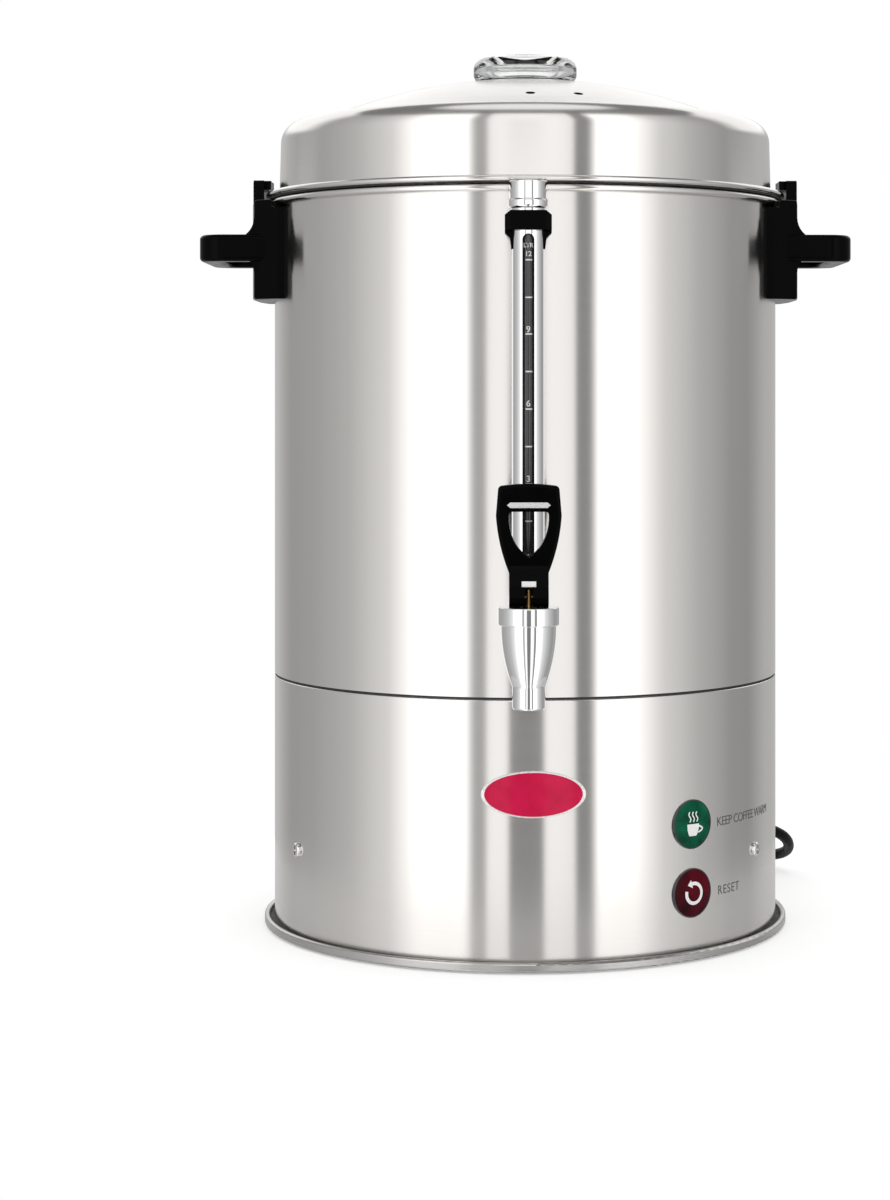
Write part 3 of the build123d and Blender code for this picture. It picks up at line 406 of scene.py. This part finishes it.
chrome = shader("chrome", (0.88, 0.88, 0.89), 0.045, 1.0)
spread(chrome, grain(chrome, (120, 120, 120)), 0.03, 0.075, "Roughness")
wear(chrome, "gauge_shield", "gauge_cap", "tap_body", "tap_bonnet", "tap_shank")
dark_chrome = shader("dark_chrome", (0.10, 0.10, 0.105), 0.15, 1.0)
spread(dark_chrome, grain(dark_chrome, (300, 300, 300)), 0.10, 0.22, "Roughness")
wear(dark_chrome, "warm_bezel", "reset_bezel")
gauge_glass = shader("gauge_glass", (0.030, 0.030, 0.032), 0.06, Coat_Weight=0.6,
                     Coat_Roughness=0.02)
spread(gauge_glass, grain(gauge_glass, (60, 60, 4)), (0.022, 0.022, 0.024), (0.05, 0.05, 0.052),
       "Base Color")
wear(gauge_glass, "gauge_tube")

GAUGE_Y = -0.168
GAUGE_MARK_R = 0.00556
mark_white = shader("mark_white", (0.86, 0.86, 0.85), 0.5)
spread(mark_white, grain(mark_white, (900, 900, 900)), (0.78, 0.78, 0.77), (0.9, 0.9, 0.89),
       "Base Color")


def flat_words(words, size, spacing=1.0, bold=0.0):
    """The outlines of a word as a flat mesh in x and z, its middle at the origin."""
    text = bpy.data.curves.new("words", "FONT")
    text.body = words
    text.size = size
    text.space_character = spacing
    text.offset = bold
    text.align_x = "CENTER"
    text.align_y = "CENTER"
    holder = bpy.data.objects.new("words", text)
    bpy.context.scene.collection.objects.link(holder)
    bpy.context.view_layer.update()
    mesh = bpy.data.meshes.new_from_object(holder.evaluated_get(bpy.context.evaluated_depsgraph_get()))
    bpy.data.objects.remove(holder)
    points = np.empty(len(mesh.vertices) * 3, np.float32)
    mesh.vertices.foreach_get("co", points)
    points = points.reshape(-1, 3)
    faces = [tuple(face.vertices) for face in mesh.polygons]
    bpy.data.meshes.remove(mesh)
    return np.column_stack((points[:, 0], points[:, 1])), faces


def wrapped(name, parts, centre, radius, azimuth, height):
    """Flat shapes laid on a round wall. A point (x, z) goes to the angle azimuth + x / radius
    round the centre, at height + z."""
    flat, faces = joined(parts)
    angle = radians(azimuth) + flat[:, 0] / radius
    placed = np.column_stack((centre[0] + radius * np.sin(angle),
                              centre[1] - radius * np.cos(angle), height + flat[:, 1]))
    return smooth_mesh(name, placed, faces)


def bar(x0, x1, z0, z1, across=6):
    """A flat strip as a grid one face high, so that it bends with the wall."""
    x = np.linspace(x0, x1, across + 1)
    flat = np.vstack([np.column_stack((x, np.full_like(x, z))) for z in (z0, z1)])
    return flat, grid_faces(2, across + 1, turned_over=True)


def raised(part, z):
    """A flat shape moved up by z."""
    return part[0] + (0.0, z), part[1]


TICK_HALF = 0.0004
marks = [raised(flat_words("LTR", 0.0033, bold=0.00009), 0.4019)]
for number, size, height in (("12", 0.0038, 0.3972), ("9", 0.0048, 0.3559),
                             ("6", 0.0048, 0.3154), ("3", 0.0048, 0.2742)):
    marks.append(raised(flat_words(number, size, bold=0.00007), height))
for height in (0.3940, 0.3735, 0.3535, 0.3330, 0.3125, 0.2920, 0.2717, 0.2513):
    marks.append(bar(-0.0016, 0.0022, height - TICK_HALF, height + TICK_HALF))
marks.append(bar(-TICK_HALF, TICK_HALF, 0.2326, 0.2334))
piece("gauge_marks", wrapped("gauge_marks", marks, (0.0, GAUGE_Y), GAUGE_MARK_R, 0.0, 0.0),
      mark_white, "urn")


# Tap ----------------------------------------------------------------------------------------
# A chromed brass body screwed on a threaded shank through the tank, with a bonnet ring, a
# silicone seat cup on a brass stem, a closing spring, and a black lever with a cam foot.

brass = shader("brass", (0.62, 0.38, 0.13), 0.42, 1.0)
spread(brass, grain(brass, (500, 500, 60)), (0.52, 0.30, 0.09), (0.70, 0.45, 0.17), "Base Color")
wear(brass, "tap_stem", "stem_pin", "tap_nut")
silicone = shader("seat_silicone", (0.45, 0.12, 0.06), 0.5)
spread(silicone, grain(silicone, (300, 300, 300)), 0.42, 0.6, "Roughness")
wear(silicone, "seat_cup")


def coil_spring(name, centre, low, high, radius, wire, pitch, per_turn=40, around=10):
    """A wire wound round an upright axis. At the angle a its middle is at radius (cos a, sin a)
    and at low + pitch a / 2 pi; its section stands on the outward and the upward normal there."""
    a = np.arange(0, 2 * pi * (high - low) / pitch, 2 * pi / per_turn)
    out = np.column_stack((np.cos(a), np.sin(a), np.zeros_like(a)))
    axis = np.column_stack((np.full_like(a, centre[0]), np.full_like(a, centre[1]),
                            low + pitch * a / (2 * pi)))
    middle = axis + radius * out
    ahead = np.column_stack((-radius * np.sin(a), radius * np.cos(a),
                             np.full_like(a, pitch / (2 * pi))))
    ahead /= np.linalg.norm(ahead, axis=1, keepdims=True)
    up = np.cross(out, ahead)
    t = 2 * pi * np.arange(around) / around
    section = np.cos(t)[:, None] * out[:, None] + np.sin(t)[:, None] * up[:, None]
    points = (middle[:, None] + wire * section).reshape(-1, 3)
    last = (len(a) - 1) * around
    ends = [tuple(range(around)), tuple(range(last + around - 1, last - 1, -1))]
    return smooth_mesh(name, points, grid_faces(len(a), around, ring_columns=True) + ends, 50)


SPRING_LOW = 0.1793
SPRING_HIGH = 0.2015
SPRING_R = 0.0060
SPRING_WIRE_R = 0.0005
SPRING_PITCH = 0.0036
spring_mesh = coil_spring("closing_spring", (0.0, -0.195), SPRING_LOW + SPRING_WIRE_R,
                          SPRING_HIGH - SPRING_WIRE_R, SPRING_R, SPRING_WIRE_R, SPRING_PITCH)
spring = piece("closing_spring", spring_mesh, screw_steel, "stem", ("tap_spring",))
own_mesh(spring)


def hex_bar(half_width, point, half_height):
    """A bar with pointed ends, flat in x and z."""
    x = half_width - point
    flat = np.array(((-half_width, 0), (-x, -half_height), (x, -half_height), (half_width, 0),
                     (x, half_height), (-x, half_height)))
    return flat, [tuple(range(6))]


# A pale grey bar with pointed ends across the lever's front: a painted highlight where the lever's
# front bevel catches the light.
lever_highlight_grey = shader("lever_highlight_bar", (0.70, 0.70, 0.70), 0.3, 0.3)
spread(lever_highlight_grey, grain(lever_highlight_grey, (400, 400, 1200)), 0.22, 0.4, "Roughness")
flat, faces = hex_bar(0.0118, 0.0018, 0.0015)
HIGHLIGHT_BAR_Y = -0.1993
HIGHLIGHT_BAR_Z = 0.2611
highlight_bar_points = np.column_stack((flat[:, 0], np.full(len(flat), HIGHLIGHT_BAR_Y), HIGHLIGHT_BAR_Z + flat[:, 1]))
highlight_bar_mesh = bpy.data.meshes.new("lever_highlight_bar")
highlight_bar_mesh.from_pydata(highlight_bar_points, [], faces)
piece("lever_highlight_bar", highlight_bar_mesh, lever_highlight_grey, "lever")


# Badge --------------------------------------------------------------------------------------
# A small oval plate of red enamel with a pale rim, bare of words, curved to the skirt.

BADGE_AZ = 1.2
BADGE_Z = 0.0987
enamel = shader("badge_enamel", (0.60, 0.002, 0.055), 0.25, Specular_IOR_Level=0.2,
                Coat_Weight=0.12, Coat_Roughness=0.05)
spread(enamel, grain(enamel, (120, 120, 120)), (0.55, 0.001, 0.048), (0.65, 0.003, 0.066), "Base Color")
rim_pale = shader("badge_rim", (0.86, 0.85, 0.84), 0.25, 0.3)
spread(rim_pale, grain(rim_pale, (500, 500, 500)), 0.18, 0.34, "Roughness")


def oval(name, half_x, half_z, rings, azimuth, height, around):
    """An oval plate on the skirt. Ring k is the oval shrunk to a share s_k of its half axes and
    stands h_k proud of the wall; a point at angle t lies at (s a cos t, s b sin t)."""
    share, rise = np.asarray(rings, float).T
    t = 2 * pi * np.arange(around) / around
    x = np.outer(share, half_x * np.cos(t))
    z = np.outer(share, half_z * np.sin(t))
    angle = radians(azimuth) + x / TANK_R
    out = (TANK_R + rise)[:, None]
    points = np.stack((out * np.sin(angle), -out * np.cos(angle), height + z), axis=-1).reshape(-1, 3)
    sides = grid_faces(len(share), around, ring_columns=True, turned_over=True)
    last = (len(share) - 1) * around
    return smooth_mesh(name, points, sides + [tuple(range(last, last + around))], 40)


BADGE_AROUND = 96
BADGE_RINGS = ((1.0, 0.0001), (1.0, 0.0007), (0.985, 0.00105), (0.945, 0.00105), (0.935, 0.0008),
               (0.90, 0.00085), (0.6, 0.0009), (0.3, 0.0009))
BADGE_RIM_BANDS = 4
badge_mesh = oval("badge_plate", 0.0293, 0.0130, BADGE_RINGS, BADGE_AZ, BADGE_Z, BADGE_AROUND)
badge = piece("badge_plate", badge_mesh, enamel, "urn", ("badge",))
badge.data.materials.append(rim_pale)
for face in badge.data.polygons:
    if face.index < BADGE_RIM_BANDS * BADGE_AROUND:
        face.material_index = 1


# Signal lens and reset button ---------------------------------------------------------------
# A green lens over a lamp, and a dark red button of the same size under it that springs back.
# Both sit in thin bezels of dark chrome, with a white sign printed on each and words beside it.

green = shader("green_lens", (0.0, 0.10, 0.05), 0.15, Specular_IOR_Level=0.06,
               Coat_Weight=0.07, Coat_Roughness=0.03)
spread(green, grain(green, (90, 90, 90)), (0.0, 0.03, 0.015), (0.0, 0.125, 0.060), "Base Color")
wear(green, "warm_lens")
maroon = shader("red_lens", (0.09, 0.0, 0.008), 0.15, Specular_IOR_Level=0.06,
                Coat_Weight=0.07, Coat_Roughness=0.03)
spread(maroon, grain(maroon, (90, 90, 90)), (0.02, 0.0, 0.002), (0.10, 0.0, 0.008), "Base Color")
wear(maroon, "reset_button")
dark_plastic = shader("lamp_plastic", (0.05, 0.05, 0.05), 0.5)
spread(dark_plastic, grain(dark_plastic, (300, 300, 300)), 0.42, 0.6, "Roughness")
wear(dark_plastic, "warm_lamp_holder", "reset_switch", "terminal_block", "thermostat",
     "thermal_cutout", "knob_nut")


def ribbon(path, width, across):
    """A flat band along a flat path: column j stands (j / across - 1/2) widths to its side."""
    path = np.asarray(path, float)
    ahead = np.gradient(path, axis=0)
    ahead /= np.linalg.norm(ahead, axis=1, keepdims=True)
    side = np.column_stack((-ahead[:, 1], ahead[:, 0]))
    wide = np.broadcast_to(np.asarray(width, float), (len(path),))
    share = np.linspace(-0.5, 0.5, across + 1)
    flat = path[:, None] + side[:, None] * (wide[:, None] * share)[..., None]
    return flat.reshape(-1, 2), grid_faces(len(path), across + 1)


LENS_EDGE_OUT = 0.0005
LENS_CROWN = 0.0016
LENS_PRINT_RISE = 0.00008


def on_lens(name, parts, height, radius):
    """Flat signs laid on a domed lens. A point (x, z) is moved out to the dome, which is a part
    of a ball and stands its crown over the lens's edge, and a print's rise further."""
    flat, faces = joined(parts)
    ball = (radius**2 + LENS_CROWN**2) / (2 * LENS_CROWN)
    ball_middle = TANK_R + LENS_EDGE_OUT + LENS_CROWN - ball
    out = ball_middle + np.sqrt(ball**2 - (flat**2).sum(axis=1)) + LENS_PRINT_RISE
    a = radians(LIGHT_AZ)
    placed = np.column_stack((out * sin(a) + flat[:, 0] * cos(a),
                              -out * cos(a) + flat[:, 0] * sin(a), height + flat[:, 1]))
    return smooth_mesh(name, placed, faces)


# A cup with its handle and three wisps of steam, then an arrow that runs back round a circle.
t = np.linspace(0, 1, 15)
cup_width = 0.0087 - 0.0036 * t**2.5
cup = [
    ribbon(np.column_stack((np.full_like(t, -0.0008), 0.0004 - 0.0068 * t)), cup_width, 8),
    ribbon(np.column_stack((0.0032 + 0.0032 * np.sin(pi * t), -0.0008 - 0.0038 * t)), 0.0010, 2),
]
sway = 0.0007 * np.sin(2 * pi * t)
for x in (-0.0034, -0.0008, 0.0018):
    cup.append(ribbon(np.column_stack((x + sway + 0.0004 * t, 0.0016 + 0.0056 * t)), 0.0008, 2))
piece("warm_sign", on_lens("warm_sign", cup, WARM_Z, 0.0133), mark_white, "urn")
turn = np.radians(np.linspace(110, -195, 44))
arrow = [
    ribbon(np.column_stack((0.0056 * np.cos(turn), 0.0056 * np.sin(turn))), 0.0020, 3),
    ribbon(np.column_stack((-0.0016 - 0.0030 * t, 0.0054 - 0.0006 * t)), 0.0046 * (1 - t) + 0.0001, 6),
]
piece("reset_sign", on_lens("reset_sign", arrow, RESET_Z, 0.0132), mark_white, "button")

print_grey = shader("print_grey", (0.09, 0.09, 0.09), 0.5)
spread(print_grey, grain(print_grey, (900, 900, 900)), (0.06, 0.06, 0.06), (0.12, 0.12, 0.12),
       "Base Color")
WORD_SIZE = 0.0073
WORD_R = TANK_R + 0.00006
for name, words, height, azimuth, spacing in (
        ("warm_word", "KEEP COFFEE WARM", 0.0758, 57.0, 0.90),
        ("reset_word", "RESET", 0.0365, 49.6, 1.12)):
    outlines = flat_words(words, WORD_SIZE, spacing)
    word_mesh = wrapped(name, [outlines], (0.0, 0.0), WORD_R, azimuth, height)
    piece(name, word_mesh, print_grey, "urn")


# Heaters and wiring -------------------------------------------------------------------------
# Under the floor: a cast brew heater round the well, a flat keep-warm ring, a thermostat, a
# cut-out against boiling dry, and the block where the cord's cores are joined.

cast_metal = shader("heater_aluminium", (0.52, 0.52, 0.53), 0.45, 1.0)
spread(cast_metal, grain(cast_metal, (180, 180, 180)), 0.36, 0.6, "Roughness")
relief(cast_metal, grain(cast_metal, (900, 900, 900), 3.0), 0.0002)
wear(cast_metal, "brew_heater", "keep_warm_heater")


# Pump and basket ----------------------------------------------------------------------------
# The pump's foot stands in the well; steam lifts water up its tube, over the perforated lid
# and through the coffee in the basket.

basket_steel = shader("basket_steel", (0.66, 0.65, 0.64), 0.3, 1.0)
spread(basket_steel, grain(basket_steel, (8, 8, 700)), 0.24, 0.4, "Roughness")
wear(basket_steel, "pump_foot", "pump_valve", "pump_tube", "coffee_basket", "basket_lid")


# Lid ----------------------------------------------------------------------------------------
# Spun stainless: a low dome in a narrow flat ring, a round shoulder, a nearly straight wall and
# a rolled flange with two notches for the handle hooks. Two steam holes; a hollow glass knob.

LID_WALL_R = 0.1497
LID_NECK_R = 0.1488
SHOULDER_R = 0.0125
SHOULDER_Z = 0.4849
LID_TOP = 0.5115
DOME_R = 0.3110
DOME_MIDDLE = LID_TOP - DOME_R
FLANGE_R = 0.1563
FLANGE_Z = 0.4403
FOOT_BEND = 0.002
KNOB_HOLE_R = 0.024
NOTCH_FLOOR_R = 0.1542
NOTCH_HALF = np.arcsin(0.0130 / 0.1565)
NOTCH_EDGE = 0.0006
LID_ANGLES = 288
VENT_R = 0.106
VENT_AZIMUTHS = (1.05, 16.2)
VENT_HOLE_R = 0.00275


def dome_line(inset, from_radius, steps=26):
    """The shoulder's quarter arc, the flat ring, the parabola (1-s)^2 A + 2 s (1-s) C + s^2 B
    round the dome's foot C, then the dome's arc up to a radius, all moved in by the inset."""
    ball = DOME_R - inset
    flat_z = SHOULDER_Z - inset
    foot = (ball**2 - (flat_z - DOME_MIDDLE) ** 2) ** 0.5
    first = degrees(np.arccos(foot / ball) + FOOT_BEND / ball)
    last = degrees(np.arccos(from_radius / ball))
    dome = bead(0.0, DOME_MIDDLE, ball, first, last, steps)
    s = np.linspace(0, 1, 7)[:-1, None]
    before, corner = np.array((foot + FOOT_BEND, flat_z)), np.array((foot, flat_z))
    bend = (1 - s) ** 2 * before + 2 * s * (1 - s) * corner + s**2 * dome[0]
    shoulder = bead(LID_NECK_R - SHOULDER_R, SHOULDER_Z - SHOULDER_R, SHOULDER_R - inset, 0, 90, 16)
    return np.vstack((shoulder, bend, dome))


lid_section = np.vstack((
    ((0.1512, 0.4300), (0.1512, 0.4388)),
    bead(FLANGE_R, FLANGE_Z, 0.00165, -115, 120, 16),
    ((0.1520, 0.43985), (0.1502, 0.4399), (0.14978, 0.4402), (LID_WALL_R, 0.4407)),
    dome_line(0.0, KNOB_HOLE_R),
    dome_line(SHEET, KNOB_HOLE_R)[::-1],
    ((LID_WALL_R - SHEET, 0.4388), (0.1502, 0.4386), (0.1502, 0.4300)),
))
edge = NOTCH_HALF + np.array((-NOTCH_EDGE, NOTCH_EDGE))
edges = np.concatenate([side + way * edge for side in (pi / 2, 3 * pi / 2) for way in (-1, 1)])
even_angles = 2 * pi * np.arange(LID_ANGLES) / LID_ANGLES
round_angles = np.unique(np.concatenate((even_angles, edges)))
off_side = (round_angles + pi / 2) % pi
off_side = np.minimum(off_side, pi - off_side)
lid_reach = np.where(off_side < NOTCH_HALF, NOTCH_FLOOR_R, np.inf)
lid_mesh = turned_sheet("lid_cover", lid_section, round_angles, reach=lid_reach)
vents = [(VENT_R * sin(radians(a)), -VENT_R * cos(radians(a))) for a in VENT_AZIMUTHS]
vent_holes = [((x, y, 0.47), (1, 0, 0), (0, 1, 0), VENT_HOLE_R, 0.05) for x, y in vents]
lid_mesh = drilled(lid_mesh, vent_holes)
lid_mesh.name = "lid_cover"
lid = piece("lid_cover", lid_mesh, steel, "lid", ("lid_shell",))
# The walls of the two steam holes are painted near black: painted shade for the dark inside of the lid
# seen through them.
vent_shade = shader("vent_painted_shade", (0.006, 0.006, 0.006), 0.6, Specular_IOR_Level=0.1)
spread(vent_shade, grain(vent_shade, (800, 800, 800)), 0.5, 0.7, "Roughness")
lid.data.materials.append(vent_shade)
for face in lid.data.polygons:
    off_vent = min(np.hypot(face.center[0] - x, face.center[1] - y) for x, y in vents)
    if off_vent < VENT_HOLE_R + 0.00005 and abs(face.normal[2]) < 0.3:
        face.material_index = 1
clear_glass = shader("clear_glass", (0.93, 0.94, 0.94), 0.02, Transmission_Weight=1.0, IOR=1.47)
spread(clear_glass, grain(clear_glass, (150, 150, 150)), 0.01, 0.04, "Roughness")
wear(clear_glass, "lid_knob")


# Table and light ----------------------------------------------------------------------------
# A small round of white table under the urn, and a studio with tall white screens at the front
# left and right, grey sides, walls that are white at the back over head height, and a dim
# ceiling with a bright middle.

floor_white = shader("table_white", (0.86, 0.86, 0.86), 0.9, Specular_IOR_Level=0.0,
                     Emission_Color=(1, 1, 1, 1))
tree = floor_white.node_tree
surface = tree.nodes["Principled BSDF"]
rays = tree.nodes.new("ShaderNodeLightPath")
lift = tree.nodes.new("ShaderNodeMath")
lift.operation = "MULTIPLY"
lift.inputs[1].default_value = 0.30
tree.links.new(rays.outputs["Is Camera Ray"], lift.inputs[0])
tree.links.new(lift.outputs["Value"], surface.inputs["Emission Strength"])
clear = tree.nodes.new("ShaderNodeBsdfTransparent")
share = tree.nodes.new("ShaderNodeMath")
share.operation = "MULTIPLY"
share.inputs[1].default_value = 0.6
thin = tree.nodes.new("ShaderNodeMixShader")
tree.links.new(rays.outputs["Is Glossy Ray"], share.inputs[0])
tree.links.new(share.outputs["Value"], thin.inputs["Fac"])
tree.links.new(surface.outputs["BSDF"], thin.inputs[1])
tree.links.new(clear.outputs["BSDF"], thin.inputs[2])
tree.links.new(thin.outputs["Shader"], tree.nodes["Material Output"].inputs["Surface"])
TABLE_R = 0.34
TABLE_SIDES = 96
angle = 2 * pi * np.arange(TABLE_SIDES) / TABLE_SIDES
table_edge = np.column_stack((TABLE_R * np.sin(angle), -TABLE_R * np.cos(angle),
                              np.zeros(TABLE_SIDES)))
table_mesh = bpy.data.meshes.new("table")
table_mesh.from_pydata(table_edge, [], [tuple(range(TABLE_SIDES))])
table_mesh.materials.append(floor_white)
table = bpy.data.objects.new("table", table_mesh)
bpy.context.scene.collection.objects.link(table)

world = bpy.data.worlds.new("studio")
bpy.context.scene.world = world
world.use_nodes = True
tree = world.node_tree
tree.nodes.clear()
place = tree.nodes.new("ShaderNodeTexCoord")
turn_round = tree.nodes.new("ShaderNodeMapping")
turn_round.inputs["Rotation"].default_value = (0, 0, radians(90))
around = tree.nodes.new("ShaderNodeTexGradient")
around.gradient_type = "RADIAL"
tree.links.new(place.outputs["Generated"], turn_round.inputs["Vector"])
tree.links.new(turn_round.outputs["Vector"], around.inputs["Vector"])
direction = tree.nodes.new("ShaderNodeSeparateXYZ")
tree.links.new(place.outputs["Generated"], direction.inputs["Vector"])


def light(level):
    """An even grey light of a level, where 1 is white."""
    even = tree.nodes.new("ShaderNodeBackground")
    even.inputs["Strength"].default_value = level
    even.inputs["Color"].default_value = (1.0, 1.0, 1.0, 1.0)
    return even.outputs["Background"]


def screens(stops):
    """The light of the walls: (degrees from the front, level) each, even between two of them."""
    walls = tree.nodes.new("ShaderNodeValToRGB")
    ramp = walls.color_ramp
    ramp.elements[0].position = 0.0
    ramp.elements[1].position = 1.0
    for degrees_round, level in stops:
        where = 0.5 + degrees_round / 360
        if where in (0.0, 1.0):
            element = ramp.elements[0 if where == 0.0 else len(ramp.elements) - 1]
        else:
            element = ramp.elements.new(where)
        element.color = (level / 2, level / 2, level / 2, 1.0)
    tree.links.new(around.outputs["Fac"], walls.inputs["Fac"])
    lit = tree.nodes.new("ShaderNodeBackground")
    lit.inputs["Strength"].default_value = 2.0
    tree.links.new(walls.outputs["Color"], lit.inputs["Color"])
    return lit.outputs["Background"]


def blend_by(factor, low, high):
    """The low light where the factor is 0, the high light where it is 1."""
    mix = tree.nodes.new("ShaderNodeMixShader")
    tree.links.new(factor, mix.inputs["Fac"])
    tree.links.new(low, mix.inputs[1])
    tree.links.new(high, mix.inputs[2])
    return mix.outputs["Shader"]


def above(start, end):
    """0 below one angle over the horizon, in degrees, and 1 above the other."""
    rise = tree.nodes.new("ShaderNodeMapRange")
    rise.inputs["From Min"].default_value = sin(radians(start))
    rise.inputs["From Max"].default_value = sin(radians(end))
    tree.links.new(direction.outputs["Z"], rise.inputs["Value"])
    return rise.outputs["Result"]


left_stops = ((-180, 0.50), (-156, 0.56), (-134, 0.38), (-112, 0.42), (-86, 0.56), (-64, 0.88),
              (-50, 1.6), (-27, 1.6), (-23.5, 0.45), (-18.5, 0.45))
right_stops = ((22.5, 0.28), (29, 0.28), (32, 1.6), (50, 1.5), (64, 0.84), (84, 0.55), (106, 0.36),
               (120, 0.33), (140, 0.50), (180, 0.50))
panel = ((-17, 1.2), (6, 1.25), (21.5, 1.15))
split_panel = ((-17, 1.2), (-8.5, 1.2), (-7, 0.22), (7, 0.22), (8.5, 1.2), (21.5, 1.15))
low_walls = screens(left_stops + split_panel + right_stops)
middle_walls = screens(left_stops + panel + right_stops)
high_walls = screens(((-180, 1.25), (-130, 1.2)) + left_stops[3:] + panel + right_stops[:7]
                     + ((124, 1.15), (180, 1.25)))
lower = blend_by(above(1.0, 3.0), low_walls, middle_walls)
walls = blend_by(above(9, 14), lower, high_walls)
ceiling = blend_by(above(66, 72), light(0.22), light(1.1))
studio = blend_by(above(44, 47), walls, ceiling)
rays = tree.nodes.new("ShaderNodeLightPath")
out = tree.nodes.new("ShaderNodeOutputWorld")
tree.links.new(blend_by(rays.outputs["Is Glossy Ray"], light(1.0), studio), out.inputs["Surface"])


# View transform -----------------------------------------------------------------------------

bpy.context.scene.view_settings.view_transform = "Standard"
